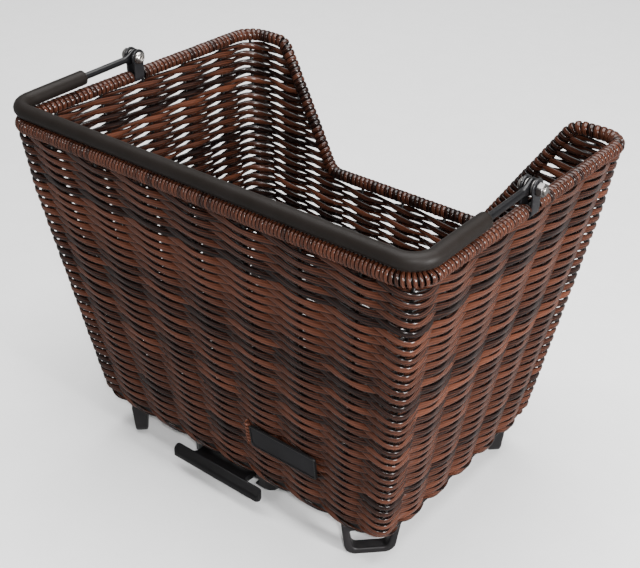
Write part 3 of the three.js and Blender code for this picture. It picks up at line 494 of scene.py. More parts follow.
def course_strand(course, strand):
    """One strand of one course: its places and its tube."""
    z = FIRST_COURSE + COURSE_PITCH * course
    first, last = course_ends(z)
    whole = last - first >= STAKES
    s = np.linspace(first, last, int(round((last - first) * STEPS)), endpoint=not whole)
    phase = np.pi * (s + strand)
    ends = 1.0 if whole else np.clip(np.minimum(s - first, last - s) / END_FADE, END_LEFT, 1.0)
    knots = random.uniform(-1, 1, (len(UNEVEN), 2 * STAKES + 2))
    knots[:, STAKES:2 * STAKES] = knots[:, :STAKES]
    rise, sway, lean, swell = (amount * np.interp(s, np.arange(knots.shape[1]), row)
                               for amount, row in zip(UNEVEN, knots))
    height = -LIFT * np.sin(phase) * (0.35 + 0.65 * ends) + rise
    out = (SWING + sway) * np.cos(phase) * ends
    out = out + corner_pull(s, z) * np.clip(np.cos(phase), 0, 1) * ends
    line, outward, upward = wall_line(s, z, height, out)
    tilt = ((TILT + lean) * np.sin(phase) ** 2)[:, None]
    wide = upward * np.cos(tilt) - outward * np.sin(tilt)
    thick = outward * np.cos(tilt) + upward * np.sin(tilt)
    half_wide = STRAND_WIDE / 2 * (1 + swell + PRESSED * np.clip(-np.cos(phase), 0, 1))
    return s, tube(line, wide, thick, half_wide, STRAND_THICK / 2, closed=whole, section=CANE_FACE)


def border_strand(strand):
    """One of two strands twisted round the base ring, from outside an upright to inside the next."""
    s = np.linspace(0, STAKES, STAKES * STEPS, endpoint=False)
    phase = np.pi * (s + strand)
    line, outward, upward = wall_line(s, BASE_Z, -BORDER * np.sin(phase), BORDER * np.cos(phase))
    cosine, sine = np.cos(phase)[:, None], np.sin(phase)[:, None]
    return s, tube(line, upward * cosine + outward * sine, outward * cosine - upward * sine,
                   STRAND_WIDE / 2, STRAND_THICK / 2, closed=True, section=CANE_FACE)


def add_strand(bundle, s, parts, shades, seed):
    """Adds a strand with a shade from each stake; seed gives it streaks of its own."""
    shade = shades[np.mod(np.floor(s + 0.5).astype(int), len(shades))]
    bundle.add_cane(parts, (s * 1.25 + seed * 7.31) * 0.25, shade, seed)


# %% The courses, in four bands
strand_shades()  # draws that no strand uses; without them every colour below would change
for band, name in enumerate(["bottom", "lower", "upper", "top"]):
    bundle = Bundle()
    if band == 0:
        for strand in (0, 1):
            add_strand(bundle, *border_strand(strand), strand_shades(), 90 + strand)
    for course in range(band * COURSES // 4, (band + 1) * COURSES // 4):
        shades = strand_shades()
        for strand in (0, 1):
            if strand == 1:
                other = strand_shades()
                shades = np.where(np.abs(other - shades) < 0.3, other, shades)
            add_strand(bundle, *course_strand(course, strand), shades, course * 2 + strand)
    dress(bundle.make(f"wall_courses_{name}"), cane, "woven_wall")

# %% [markdown]
# ## The wire frame
# The frame is one weldment of round wires: the rim with its saddle dip, the ring round the base, the
# upright stakes and the floor's grid. Each is a tube along a line, with the line's corners rounded.

# %% Lines with rounded corners
def rounded(corners, radii, closed, steps=10):
    """A line through corners, each cut off by an arc that swings evenly from one straight stretch to
    the next."""
    corners = [np.array(c, float) for c in corners]
    line, last = [], len(corners) - 1
    for i, corner in enumerate(corners):
        if not closed and i in (0, last):
            line.append(corner[None])
            continue
        back = unit(corners[i - 1] - corner)
        on = unit(corners[(i + 1) % len(corners)] - corner)
        half = np.arccos(np.clip(back @ on, -1, 1)) / 2
        centre = corner + unit(back + on) * radii[i] / np.sin(half)
        reach = radii[i] / np.tan(half)
        start, end = corner + back * reach - centre, corner + on * reach - centre
        turn = np.pi - 2 * half
        share = np.linspace(0, 1, steps + 1)[:, None]
        arc = (np.sin((1 - share) * turn) * start + np.sin(share * turn) * end) / np.sin(turn)
        line.append(centre + arc)
    return np.concatenate(line)


def spaced(line, step, closed=False):
    """The same line with points every step millimetres, about, and its running length."""
    if closed:
        line = np.concatenate([line, line[:1]])
    lengths = np.concatenate([[0], np.cumsum(np.linalg.norm(np.diff(line, axis=0), axis=1))])
    count = max(int(round(lengths[-1] / step)), 2)
    at = np.linspace(0, lengths[-1], count + 1)
    points = picked(at, lengths, line)
    return (points[:-1], at[:-1]) if closed else (points, at)


def picked(at, lengths, rows):
    """The rows, which belong to lengths, at other lengths."""
    return np.stack([np.interp(at, lengths, rows[:, k]) for k in range(3)], -1)


def around(line, guide=(0, 0, 1), closed=False):
    """Two directions across the line and the one along it: guide made square to the line, and a
    second, with second x first along."""
    ahead = np.roll(line, -1, 0) - np.roll(line, 1, 0) if closed else np.gradient(line, axis=0)
    ahead = unit(ahead)
    guide = np.broadcast_to(guide, line.shape)
    first = unit(guide - ahead * (guide * ahead).sum(-1, keepdims=True))
    return first, np.cross(first, ahead), ahead


def outward_of(line):
    """The level direction away from the basket's middle, for points of the rim or base ring."""
    reach_x, reach_y = half_length(line[:, 2]) - CORNER, half_depth(line[:, 2]) - CORNER
    x = line[:, 0] - np.clip(line[:, 0], -reach_x, reach_x)
    y = line[:, 1] - np.clip(line[:, 1], -reach_y, reach_y)
    return unit(np.stack([x, y, 0 * x], -1))


# %% The frame's wires
half_front = [(RIM_LENGTH, RIM_DEPTH, RIM_Z), (PEAK_X, RIM_DEPTH, RIM_Z),
              (SADDLE_X, half_depth(SADDLE_Z), SADDLE_Z)]
RIM_CORNERS = [(-RIM_LENGTH, -RIM_DEPTH, RIM_Z), (RIM_LENGTH, -RIM_DEPTH, RIM_Z), *half_front,
               *[(-x, y, z) for x, y, z in half_front[::-1]]]
RIM_RADII = [CORNER] * 3 + [SADDLE_CORNER] * 4 + [CORNER]
FLOOR_WIRE = 1.25  # the floor's cross wires lie so far above and below the ring's middle
LOOP_STEP, STRAIGHT_STEP = 4.0, 30.0  # from ring to ring of points
rim_line = rounded(RIM_CORNERS, RIM_RADII, True)


def wire(bundle, line, radius, guide=None, sides=8):
    """Adds a round wire; without a guide it is a loop round the basket."""
    closed = guide is None
    line = spaced(np.array(line), LOOP_STEP if closed else STRAIGHT_STEP, closed)[0]
    first, second, _ = around(line, outward_of(line) if closed else guide, closed)
    bundle.add(*tube(line, second, first, radius, radius, sides, closed)[:2])


def stake_top(share):
    """The height where a front stake with this share of the half length meets the rim."""
    dense, _ = spaced(rim_line, 1.0, True)
    front = dense[dense[:, 1] > RIM_DEPTH / 2]
    miss = np.abs(front[:, 0] - share * (half_length(front[:, 2]) - CORNER))
    return front[miss < 1.5][:, 2].min()


wires = Bundle()
wire(wires, rim_line, RIM_WIRE, sides=16)
ring = [(x * BASE_LENGTH, y * BASE_DEPTH, BASE_Z) for x, y in QUARTERS]
wire(wires, rounded(ring, [CORNER] * 4, True), RING_WIRE, sides=14)
for number in range(STAKES):
    s, top = np.array([float(number)]), RIM_Z
    if FRONT_FIRST <= number <= FRONT_LAST:
        top = stake_top(wall_axes(s, RIM_Z)[0][0])
    line = [wall_line(s, z, np.zeros(1), np.zeros(1))[0][0] for z in (BASE_Z, top)]
    wire(wires, line, STAKE, (0.3, 0.2, 0.1))
for x in CROSS_X:
    z = BASE_Z + FLOOR_WIRE
    wire(wires, [[x, -BASE_DEPTH, z], [x, BASE_DEPTH, z]], STAKE, (0, 0, 1))
for y in CROSS_Y:
    z = BASE_Z - FLOOR_WIRE
    wire(wires, [[-BASE_LENGTH, y, z], [BASE_LENGTH, y, z]], STAKE, (0, 0, 1))
dress(wires.make("frame_wires"), wire_paint, "wire_frame")

# %% [markdown]
# ## The rim's winding
# Cane is wound round the rim wire, turn beside turn, as a helix: the angle round the wire grows with
# the number of turns, and that number is the running length divided by the strand's width there.
# Turns are narrow along the rear and broad elsewhere, so the width depends on the place too.

# %% A winding along a line
WRAP_RADIUS, WRAP_THICK, WRAP_SHADE = 6.0, 2.5, 0.75
WRAP_SIDE = 12  # a short side's turns stop so far before the corner
WRAP_FILL, WRAP_WANDER = 0.98, 0.12  # the share of its place that a turn fills; how unevenly it lies
TURN_STEPS, TURN_STEP = 18, 0.5  # rings in a turn; spacing of the line's points
COIL_SIDES, COIL_SQUARE = 8, 0.9


def coil(line, turns, guide, hand):
    """Winds along a line that has made so many turns at each point: the number of turns, the axis,
    and the directions away from it and along it, ring by ring. hand is 1 or -1."""
    turn = np.linspace(0, turns[-1], int(turns[-1] * TURN_STEPS))
    core, out, side, on = (picked(turn, turns, rows) for rows in (line, *around(line, guide)))
    angle = 2 * np.pi * turn[:, None]
    return turn, core, unit(out) * np.cos(angle) + hand * unit(side) * np.sin(angle), unit(on)


def winding(name, line, side_width, long_width, shades, node_name):
    """A strand wound round line, with turns of one width on the short sides and another elsewhere."""
    line, at = spaced(line, TURN_STEP)
    width = np.where(np.abs(line[:, 1]) < RIM_DEPTH - WRAP_SIDE, side_width, long_width)
    turns = np.concatenate([[0], np.cumsum(np.diff(at) / (0.5 * (width[1:] + width[:-1])))])
    turn, core, radial, on = coil(line, turns, outward_of(line), -1)
    number = np.floor(turn + 0.25).astype(int)
    uneven = random.uniform(-1, 1, number.max() + 2)
    centre = core + radial * (WRAP_RADIUS - WRAP_THICK / 2 + WRAP_WANDER * uneven[number])[:, None]
    half = np.interp(turn, turns, width) * 0.5 * WRAP_FILL
    parts = tube(centre, on, radial, half, WRAP_THICK / 2, COIL_SIDES, False, COIL_SQUARE)
    bundle = Bundle().add_cane(parts, turn * 0.2, WRAP_SHADE * wrap_shade(number, core, *shades))
    dress(bundle.make(name), cane, node_name)


def wrap_shade(number, core, seed, values, chances):
    """One of the values for each turn, by chance; on the saddle and its slopes, brown and dark."""
    pick = lambda seed, values, chances=None: np.random.default_rng(seed).choice(
        values, number.max() + 2, p=chances)[number]
    low = (np.abs(core[:, 0]) < PEAK_X) & (core[:, 1] > 0)
    return np.where(low, pick(7, [0.1, 0.2, 0.5, 0.65]), pick(seed, values, chances))


# %% The two windings
REAR_SHADES = (5, [0.62, 0.7, 0.78, 0.5, 0.3], [0.3, 0.25, 0.2, 0.15, 0.1])
FRONT_SHADES = (6, [0.6, 0.7, 0.5, 0.2], [0.35, 0.3, 0.2, 0.15])
for name, part, way, long_width, shades in (("rear", slice(0, 2), -1, 3.35, REAR_SHADES),
                                            ("front", slice(2, 8), 1, 5.5, FRONT_SHADES)):
    ends = [(x * RIM_LENGTH, PIVOT_Y + 6 * way, RIM_Z) for x in (way, -way)]
    line = rounded([ends[0], *RIM_CORNERS[part], ends[1]], [0, *RIM_RADII[part], 0], False)
    winding(f"rim_winding_{name}", line, 4.9, long_width, shades, f"{name}_rim_wrap")

# %% [markdown]
# ## Turned pieces
# Screws, nuts and washers are turned: rings round an axis, each with a height and a radius. A nut's
# radius depends on the angle too.

# %% Rings round an axis
def hexagon(across):
    """The radius of a hexagon, across its flats, as a function of the angle."""
    return lambda angle: across / 2 / np.cos(np.mod(angle, np.pi / 3) - np.pi / 6)


def raised(rings, by):
    """The same rings, higher up."""
    return [(height + by, radius) for height, radius in rings]


def turned(node_name, material, rings, origin, axis, sides=36, name=None):
    """A fastener of rings, each a (height, radius); a radius may be a function of the angle."""
    first = [0.0, 0.0, 1.0] if axis[0] else unit(np.cross(axis, [0.3, 0.9, 0.5]))
    angle = 2 * np.pi * np.arange(sides)[:, None] / sides
    spoke = np.cos(angle) * first + np.sin(angle) * np.cross(axis, first)
    radii = np.array([r(angle[:, 0]) if callable(r) else np.full(sides, r) for _, r in rings])
    heights = np.array([h for h, _ in rings])[:, None, None]
    points = np.array(origin) + heights * np.array(axis) + radii[:, :, None] * spoke
    piece = Bundle().add(points.reshape(-1, 3), capped(len(rings), sides))
    dress(piece.make(name or node_name + "_turned"), material, node_name)


# %% Pivot screws, nuts and washers
# The screw has a button head with a hexagon socket inside the basket and a threaded end outside; the
# nut's flats are cut back to a circle at both faces.
STRAP_IN, STRAP_OUT = 3.8, 5.8  # the strap's faces from the rim wire's middle
NUT_SEAT = STRAP_OUT + 0.3
THREAD_START, THREAD_END, THREAD_STEP = 5.9, NUT_SEAT + 6.5, 0.25
socket, flats = hexagon(4.0), hexagon(10.0)
cut = lambda radius: (lambda angle: np.minimum(flats(angle), radius))
screw_head = [(2.0, hexagon(3.6)), (1.9, socket), (0.1, socket), (0, hexagon(4.2)), (0, 2.6),
              (0.15, 3.1), (0.7, 4.1), (1.5, 4.95), (2.4, 5.45), (3.0, 5.6), (3.3, 5.55), (3.4, 5.3),
              (3.4, 3.0)]
screw = raised(screw_head, -NUT_SEAT - 3.4)
for k, height in enumerate(np.arange(THREAD_START, THREAD_END - 0.4, THREAD_STEP)):
    screw.append((height, 3.0 if k % 2 else 2.75))
screw += [(THREAD_END - 0.35, 2.9), (THREAD_END, 2.4)]
washer = [(0, 3.3), (0, 5.85), (0.12, 6.0), (1.08, 6.0), (1.2, 5.85), (1.2, 3.3)]
nut = [(0, 3.2), (0, 4.6), (0.1, cut(5.0)), (0.5, cut(5.6)), (0.8, flats), (4.2, flats),
       (4.5, cut(5.6)), (4.9, cut(5.0)), (5, 4.6), (5, 3.5), (4.5, 3.05)]
for side, name in SIDES:
    pivot, out = (side * RIM_LENGTH, PIVOT_Y, PIVOT_Z), (side, 0, 0)
    turned(f"pivot_bolt_{name}", bright_steel, screw, pivot, out, name=f"pivot_screw_{name}")
    for part, start in (("outer", 2.3), ("inner", -3.5)):
        turned(f"pivot_washer_{part}_{name}", dull_steel, raised(washer, start), pivot, out, 32)
    turned(f"pivot_nut_{name}", dull_steel, raised(nut, NUT_SEAT), pivot, out)

# %% [markdown]
# ## Strap brackets
# Each bracket is a flat strap folded under the rim wire, with both ends rounded into ears beside the
# handle's eye. It is a tube with a nearly square section: the path is the strap's middle, and the
# section's width follows the ear's circle near the top.

# %% The two brackets
EAR, STRAP_HALF = 7.5, 5.5


def bracket(side, name):
    """A strap from the inner ear, down round the rim wire, up to the outer ear."""
    middle = (STRAP_IN + STRAP_OUT) / 2
    up = PIVOT_Z - RIM_Z
    rise = np.concatenate([up + EAR * np.sin(np.linspace(np.pi / 2 - 0.08, 0, 14)),
                           np.linspace(up - 0.8, 1.0, 14)])
    bend = np.linspace(0, np.pi, 15)
    x = np.concatenate([np.full(len(rise), middle), middle * np.cos(bend), np.full(len(rise), -middle)])
    z = np.concatenate([rise, -middle * np.sin(bend), rise[::-1]])
    line = np.stack([side * RIM_LENGTH + x, np.full(len(x), PIVOT_Y), RIM_Z + z], -1)
    ear = np.sqrt(np.clip(EAR ** 2 - (z - up) ** 2, 0.3, None))
    half = np.where(z > up, ear, np.maximum(STRAP_HALF, ear))
    wide = np.broadcast_to([0.0, 1.0, 0.0], line.shape)
    thick = np.cross(unit(np.gradient(line, axis=0)), wide)
    parts = tube(line, wide, thick, half, (STRAP_OUT - STRAP_IN) / 2, 24, False, 0.35)
    piece = Bundle().add(*parts[:2]).make(f"strap_bracket_{name}")
    dress(piece, strap_paint, f"bracket_{name}")


for side, name in SIDES:
    bracket(side, name)

# %% [markdown]
# ## The bail handle
# The handle is one bent rod whose ends are pressed flat into eyes. Its section changes along the
# rod: a circle of 3 mm radius that flattens and widens into a disc round each pivot. The foam grip
# is a thicker tube along the same line, with a small round at each cut end.

# %% The handle's line
BAIL_Y, BAIL_Z, BAIL_CORNER = -143.5, 320.9, 18.0
BAIL_REACH = PIVOT_Y - BAIL_Y
ROD, EYE, EYE_HALF = 3.0, 7.0, 2.0  # the rod's radius; the eye's radius and half thickness
EYE_END = EYE - 0.15  # the rod's line ends so far beyond the pivot
NECK, NECK_START, NECK_RUN = 2.2, 5, 9  # beside the eye the rod is wider by this, and where it fades
FLAT_START, FLAT_RUN = 6, 7  # where the flat end turns into the round rod
GRIP, GRIP_START = 6.5, 60.0  # the grip's radius, and how far from the pivot it starts


def bail_line(start):
    """The handle's middle line, from start mm along the left arm to the same on the right."""
    pivots = [np.array([side * RIM_LENGTH, PIVOT_Y, PIVOT_Z]) for side in (-1, 1)]
    corners = [np.array([side * RIM_LENGTH, BAIL_Y, BAIL_Z]) for side in (-1, 1)]
    ends = [p + (c - p) * start / BAIL_REACH for p, c in zip(pivots, corners)]
    return rounded([ends[0], *corners, ends[1]], [0, BAIL_CORNER, BAIL_CORNER, 0], False, 16)


# %% Rod and grip
def bar(name, line, half_wide, half_thick, sides, square=1.0):
    """A piece that is one tube without marks."""
    first, second, _ = around(line)
    parts = tube(line, first, -second, half_wide, half_thick, sides, False, square)
    return Bundle().add(*parts[:2]).make(name)


def rod():
    """The rod: near an eye, its half width is that of a disc, and its half thickness falls to 2 mm.
    Where its section no longer changes, rings are left out."""
    line, at = spaced(bail_line(-EYE_END), 0.8)
    beyond = np.minimum(at, at[-1] - at) - EYE_END
    disc = np.sqrt(np.clip(EYE ** 2 - beyond ** 2, 0, None))
    neck = ROD + NECK * (1 - np.clip((beyond - NECK_START) / NECK_RUN, 0, 1)) ** 2 * (beyond > 0)
    wide = np.where(beyond < 0, disc, np.maximum(disc, neck))
    flat = EYE_HALF + (ROD - EYE_HALF) * np.clip((beyond - FLAT_START) / FLAT_RUN, 0, 1)
    far = (beyond > 20) & (np.arange(len(at)) % 5 != 0) & (np.abs(line[:, 0]) < 180)
    line, wide, flat = line[~far], wide[~far], flat[~far]
    return bar("handle_rod", line, wide, flat, 24, np.where(flat < 2.9, 0.6, 1.0)[:, None])


def grip():
    """The foam grip: 13 mm across, its cut ends rounded off over 1 mm."""
    line, at = spaced(bail_line(GRIP_START), 3.0)
    ends = np.array([0.0, 0.02, 0.15, 0.5, 1.0])
    radii = np.array([ROD + 0.1, GRIP - 0.9, GRIP - 0.4, GRIP - 0.12, GRIP])
    at_all = np.concatenate([ends, at[1:-1], at[-1] - ends[::-1]])
    line = picked(at_all, at, line)
    from_end = np.minimum(at_all, at[-1] - at_all)
    soft = np.random.default_rng(3).uniform(-0.04, 0.04, len(at_all)) * (from_end > 2)
    radius = np.interp(from_end, ends, radii) + soft
    return bar("handle_grip", line, radius, radius, 32)


dress(rod(), rod_paint, "bail_rod", "bail")
foam_grip = dress(grip(), foam, "bail_grip", "bail")

# %% [markdown]
# ## Feet
# Each foot is a moulded loop of plastic. Its surface is a ring bent round a window: one parameter
# runs round the loop, the other round its section, from the outer outline to the window's outline
# and back, and the depth tapers towards the sole.

# %% Outlines
def outline(corners, radii, count, steps=8):
    """A closed rounded outline with count points. Each corner and each side keeps its share of them,
    so that two outlines of one build match point by point."""
    line = rounded([(x, y, 0.0) for x, y in corners], radii, True, steps)[:, :2]
    runs = line.reshape(len(corners), steps + 1, 2)
    rest = count // len(corners) - steps - 1
    share = (np.arange(rest) + 1)[:, None] / (rest + 1)
    sets = []
    for run, after in zip(runs, np.roll(runs, -1, 0)):
        sets += [run, run[-1] + (after[0] - run[-1]) * share]
    return np.concatenate(sets)


# %% The four feet
FOOT_TOP, FOOT_TOP_HALF, FOOT_SOLE_HALF = 34.45, 25.0, 20.5
FOOT_WALL, FOOT_ROOF = 6.5, 7.5  # thickness of the loop at its sides and at its top
FOOT_SOLE_DEEP, FOOT_TOP_DEEP = 5.5, 7.5  # half the depth at the sole and at the top
FOOT_POINTS = 80

# The section has a round on every edge.
sole, top, roof = FOOT_SOLE_HALF, FOOT_TOP_HALF, FOOT_TOP - FOOT_ROOF
outer = outline([(-sole, 0), (sole, 0), (top, FOOT_TOP), (-top, FOOT_TOP)], [10, 10, 1, 1], FOOT_POINTS)
sole, top = sole - FOOT_WALL, top - FOOT_WALL
inner = outline([(-sole, FOOT_WALL), (sole, FOOT_WALL), (top, roof), (-top, roof)], [5, 5, 3, 3],
                FOOT_POINTS)
across = np.array([0.0, 0.0, 0.03, 0.12, 0.3, 0.7, 0.86, 0.96, 1.0, 1.0])
depth = np.array([0.0, 0.62, 0.84, 0.96, 1.0, 1.0, 0.95, 0.82, 0.6, 0.0])
across, depth = np.concatenate([across, across[-2:0:-1]]), np.concatenate([depth, -depth[-2:0:-1]])
flat = outer[:, None] + (inner - outer)[:, None] * across[None, :, None]
rise = np.clip(flat[..., 1] / FOOT_TOP, 0, 1)
deep = (FOOT_SOLE_DEEP + (FOOT_TOP_DEEP - FOOT_SOLE_DEEP) * rise) * depth
faces = [grid_faces(FOOT_POINTS, len(across), True)[:, ::-1]]
for name, (x, y) in zip(QUARTER_NAMES, QUARTERS):
    turn = math.radians(-45 * x * y)
    points = np.stack([flat[..., 0] * math.cos(turn) - deep * math.sin(turn) + x * FOOT_X,
                       flat[..., 0] * math.sin(turn) + deep * math.cos(turn) + y * FOOT_Y,
                       flat[..., 1]], -1)
    piece = Bundle().add(points.reshape(-1, 3), faces).make(f"foot_loop_{name}")
    dress(piece, foot_plastic, f"foot_{name}")

# %% [markdown]
# ## Screws inside the basket
# Flanged screws hold the feet, and socket screws hold the adapter through its clamp plate. Their
# heads show from above, so they are turned too.

# %% Foot screws and adapter screws
FOOT_TIP, FOOT_SEAT = 28.95, 45.55  # heights of a screw's tip and of its head's underside
ADAPTER_TIP, ADAPTER_SEAT = 25.5, 48.85
recess, socket = (lambda angle: 0.9 + 1.1 * np.abs(np.cos(2 * angle)) ** 6), hexagon(3.0)
foot_screw = [(FOOT_TIP, 1.6), (FOOT_TIP + 0.65, 2.5)] + raised(
    [(0, 2.5), (0, 7.7), (0.3, 8.0), (1.0, 8.0), (1.3, 7.6), (1.5, 6.4), (2.2, 5.4), (3.0, 4.2),
     (3.6, 2.9), (3.75, 2.3), (3.7, recess), (2.0, recess)], FOOT_SEAT)
adapter_screw = [(ADAPTER_TIP, 1.6), (ADAPTER_TIP + 0.7, 2.5)] + raised(
    [(0, 2.5), (0, 4.5), (0.3, 4.8), (1.1, 4.8), (2.0, 4.4), (2.7, 3.6), (3.0, 2.6), (3.0, 1.9),
     (2.9, socket), (1.4, socket)], ADAPTER_SEAT)
for name, (x, y) in zip(QUARTER_NAMES, QUARTERS):
    turned(f"foot_screw_{name}", dull_steel, foot_screw, (x * FOOT_X, y * FOOT_Y, 0), (0, 0, 1))
    turned(f"adapter_screw_{name}", bright_steel, adapter_screw,
           (ADAPTER_X + x * SCREW_X, ADAPTER_Y + y * SCREW_Y, 0), (0, 0, 1))

# %% [markdown]
# ## Adapter, pull handle and clamp plate
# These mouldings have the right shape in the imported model, but knife edges. A copy of each is merged
# into one skin, its flat faces are joined, and a Bevel modifier rounds the edges as a mould would.

# %% Rounded copies
LARGE_FACE = 2e-4  # square metres: larger faces are shaded flat


def softened(node_name, name, width, body="basket"):
    """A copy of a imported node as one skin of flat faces, with its sharp edges rounded to width mm."""
    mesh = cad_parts[node_name].data.copy()
    mesh.materials.clear()
    skin = bmesh.new()
    skin.from_mesh(mesh)
    bmesh.ops.remove_doubles(skin, verts=skin.verts, dist=1e-6)
    bmesh.ops.dissolve_limit(skin, angle_limit=math.radians(1.0), verts=skin.verts, edges=skin.edges)
    skin.to_mesh(mesh)
    skin.free()
    mesh.name = name
    areas = np.empty(len(mesh.polygons))
    mesh.polygons.foreach_get("area", areas)
    mesh.polygons.foreach_set("use_smooth", areas < LARGE_FACE)
    piece = placed(name, mesh)
    bevel = piece.modifiers.new("rounded_edges", "BEVEL")
    bevel.width, bevel.segments, bevel.limit_method = width * MM, 2, "ANGLE"
    bevel.angle_limit = math.radians(28)
    bevel.harden_normals = True
    print(name, "has", len(mesh.polygons), "faces before its edges are rounded")
    dress(piece, adapter_plastic, node_name, body)


softened("adapter_housing", "adapter_body", 0.8)
softened("pull_handle", "adapter_pull", 0.7, "pull")
softened("clamp_plate", "clamp_plate_rounded", 0.6)

# %% [markdown]
# ## Label plate
# The small plate low on the rear wall is bare. It leans with the wall: a raised black border stands
# round a dark grey field. Rings of one rounded outline, each inset and set forward a little, make
# it. Just left of it, a light strand is lashed round the courses.

# %% The bare label plate
LABEL_X, LABEL_Z, LABEL_HALF = 69.0, 89.0, 35.0
LABEL_FACE = 5.5  # from the wall's middle to the plate's back
LABEL_POINTS = 64


def plate(name, half_x, half_z, corner, rings):
    """Rings of a rounded rectangle that leans with the rear wall: each ring is (inset, forward)."""
    lean = math.atan(LEAN_Y)
    axes = np.array([[1.0, 0, 0], [0, -math.sin(lean), math.cos(lean)]])
    out = np.array([0, -math.cos(lean), -math.sin(lean)])
    middle = np.array([LABEL_X, -half_depth(LABEL_Z), LABEL_Z])
    points = []
    for inset, forward in rings:
        x, z, r = half_x - inset, half_z - inset, max(corner - inset, 0.3)
        shape = outline([(-x, -z), (x, -z), (x, z), (-x, z)], [r] * 4, LABEL_POINTS)
        points.append(middle + shape @ axes + (LABEL_FACE + forward) * out)
    return Bundle().add(np.concatenate(points), capped(len(rings), LABEL_POINTS)).make(name)


border = plate("label_border", LABEL_HALF, 11.5, 2.5, [
    (0.6, 0.0), (0.2, 0.1), (0.0, 0.5), (0.0, 1.7), (0.15, 2.05), (0.5, 2.2), (1.2, 2.2), (1.5, 2.05),
    (1.6, 1.7), (1.6, 1.2)])
dress(border, adapter_plastic, "label_plate")
field = plate("label_field", LABEL_HALF - 1.6, 9.9, 0.9, [
    (0.0, 1.2), (0.0, 1.55), (0.1, 1.62), (0.6, 1.65)])
dress(field, label_plastic, "label_plate")

# %% The lashing beside the label
LASH_X = LABEL_X - LABEL_HALF - 3.6
LASH_LOW, LASH_HIGH, LASH_OUT, LASH_TURNS = LABEL_Z - 12.0, LABEL_Z + 11.0, 5.2, 6.5
LASH_RADIUS, LASH_WIDE, LASH_THICK, LASH_SHADE = 1.9, 2.9, 1.2, 0.95

height = np.array([LASH_LOW, LASH_HIGH])
line = spaced(np.stack([np.full(2, LASH_X), -half_depth(height) - LASH_OUT, height], -1), TURN_STEP)[0]
turn, core, radial, on = coil(line, np.linspace(0, LASH_TURNS, len(line)), [0, -1, 0], 1)
parts = tube(core + radial * LASH_RADIUS, on, radial, LASH_WIDE / 2, LASH_THICK / 2, COIL_SIDES, False,
             COIL_SQUARE)
piece = Bundle().add_cane(parts, turn * 0.3, LASH_SHADE).make("label_lashing")
dress(piece, cane, "woven_wall")

# %% [markdown]
# ## The floor's weave
# The floor is woven plainly: strands run along the basket, over one cross wire and under the next,
# and neighbours are opposite. A strand's height is a cosine along its length.

# %% Floor strands
FLOOR_Z, FLOOR_SWING, FLOOR_PITCH = 40.15, 3.85, 5.15
FLOOR_WIDE, FLOOR_THICK, FLOOR_EDGE = 5.0, 2.5, 6.5  # a strand's section; its end's gap to the ring
RING_ROOM, WIRE_ROOM = 1.5, 1.8  # kept free inside the ring, and beside each lengthways wire
FLOOR_STEP, FLOOR_WANDER = 4.5, 0.12  # from ring to ring of a strand; how unevenly high strands lie

knots = np.array([2 * CROSS_X[0] - CROSS_X[1], *CROSS_X, 2 * CROSS_X[-1] - CROSS_X[-2]])
wires_y = [-BASE_DEPTH + RING_ROOM, *CROSS_Y, BASE_DEPTH - RING_ROOM]
bundle, number = Bundle(), 0
for low, high in zip(wires_y[:-1], wires_y[1:]):
    low, high = low + WIRE_ROOM, high - WIRE_ROOM
    count = int(round((high - low) / FLOOR_PITCH))
    for k in range(count):
        y = low + (high - low) * (k + 0.5) / count
        limit = BASE_LENGTH - FLOOR_EDGE
        edge = abs(y) - (BASE_DEPTH - CORNER)
        if edge > 0:
            limit = BASE_LENGTH - CORNER + math.sqrt(max((CORNER - FLOOR_EDGE) ** 2 - edge ** 2, 1.0))
        x = np.arange(-limit, limit + 4, FLOOR_STEP).clip(-limit, limit)
        way = np.interp(x, knots, np.arange(-1, 6))
        height = FLOOR_Z + FLOOR_SWING * np.cos(np.pi * (way + number))
        height += FLOOR_WANDER * random.uniform(-1, 1)
        line = np.stack([x, y + 0.2 * np.sin(x / 31 + number), height], -1)
        first, second, _ = around(line)
        parts = tube(line, second, first, FLOOR_WIDE / 2, FLOOR_THICK / 2, 10, False, COIL_SQUARE)
        bundle.add_cane(parts, x / 160 + number * 3.7, random.choice(SHADES, p=CHANCES))
        number += 1
dress(bundle.make("floor_strands"), cane, "woven_floor")

# %% [markdown]
# ## Small hidden pieces
# The return spring and the label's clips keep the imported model's form and only get a finish.

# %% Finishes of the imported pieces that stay
for name, material in (("pull_spring", dull_steel), ("label_clip_left", adapter_plastic),
                       ("label_clip_right", adapter_plastic)):
    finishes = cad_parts[name].data.materials
    finishes.clear()
    finishes.append(material)
print("kept with a new finish: the spring and two clips")

# %% [markdown]
# ## Camera, floor and light
# The camera stands where the photographer stood: to the right of the basket's rear, looking down at
# about 31 degrees. The floor is plain and pale; left out of reflections, it puts no grey veil on the
# strands' undersides. A large soft light hangs above, a smaller one stands at the right, and the
# smallest, beside the camera, gives the cane its highlights.

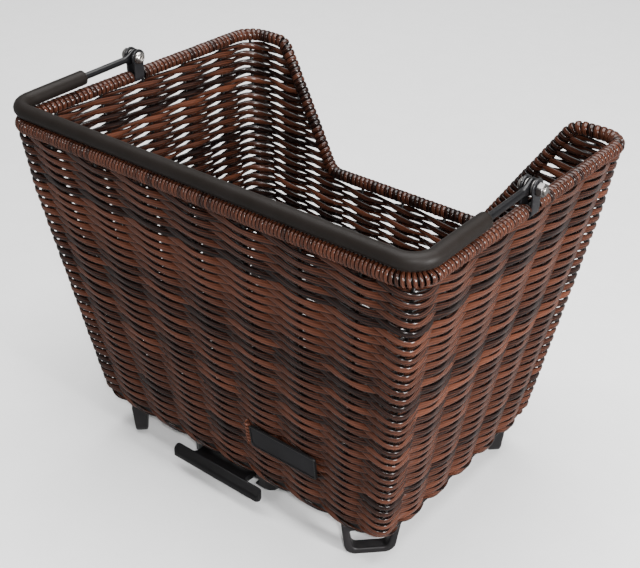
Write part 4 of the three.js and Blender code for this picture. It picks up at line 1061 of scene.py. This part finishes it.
# %% Camera
camera = placed("camera", bpy.data.cameras.new("camera"))
ahead = unit(np.array([-0.5385, 0.6626, -0.5205]))
level = unit(np.array([ahead[1], -ahead[0], 0.0]))
roll = 0.0045
right = level * math.cos(roll) + np.cross(level, ahead) * math.sin(roll)
axes = Matrix(np.stack([right, np.cross(right, ahead), -ahead], 1).tolist())
camera.rotation_euler = axes.to_euler()
camera.location = (0.55189, -0.67155, 0.69209)
camera.data.sensor_width, camera.data.lens = 36.0, 65.09
camera.data.clip_start, camera.data.clip_end = 0.05, 50
bpy.context.scene.camera = camera

# %% Floor
floor_mesh = bpy.data.meshes.new("floor")
floor_mesh.from_pydata([(-6, -6, 0), (6, -6, 0), (6, 6, 0), (-6, 6, 0)], [], [(0, 1, 2, 3)])
floor = placed("floor", floor_mesh)
floor.data.materials.append(floor_paper)
floor.visible_glossy = False
floor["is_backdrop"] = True

# %% Light
world = bpy.data.worlds.new("studio")
bpy.context.scene.world = world
world.use_nodes = True
tree = world.node_tree
way = node(tree, "ShaderNodeTexCoord").outputs["Generated"]
height = node(tree, "ShaderNodeSeparateXYZ", {"Vector": way}).outputs["Z"]
walls = node(tree, "ShaderNodeMapRange",
             {"Value": height, "From Min": 0.15, "From Max": 0.6, "To Min": 0.48, "To Max": 0.05},
             interpolation_type="SMOOTHSTEP")
plug(tree, tree.nodes["Background"].inputs["Strength"], walls.outputs["Result"])
plug(tree, tree.nodes["Background"].inputs["Color"], (1.0, 1.0, 1.0, 1.0))

for name, place, aim, size, power in (("light_top", (0.0, 0.3, 3.0), (0, 0.1, 0), 3.0, 230),
                                      ("light_right", (1.9, -0.2, 0.62), (0, 0, 0.15), 0.4, 62),
                                      ("light_camera", (0.95, -1.0, 1.15), (0, 0, 0.15), 0.1, 20)):
    lamp = bpy.data.lights.new(name, "AREA")
    lamp.size, lamp.energy = size, power
    light = placed(name, lamp)
    light.location = place
    light.rotation_euler = (Vector(aim) - Vector(place)).to_track_quat("-Z", "Y").to_euler()
print("camera, floor and lights stand")

# %% [markdown]
# ## The end
# The bounds of every shown piece, the floor left out, are measured; the imported nodes stay in the
# scene, hidden.

# %% Bounds of what is shown, and the end
low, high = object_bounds()
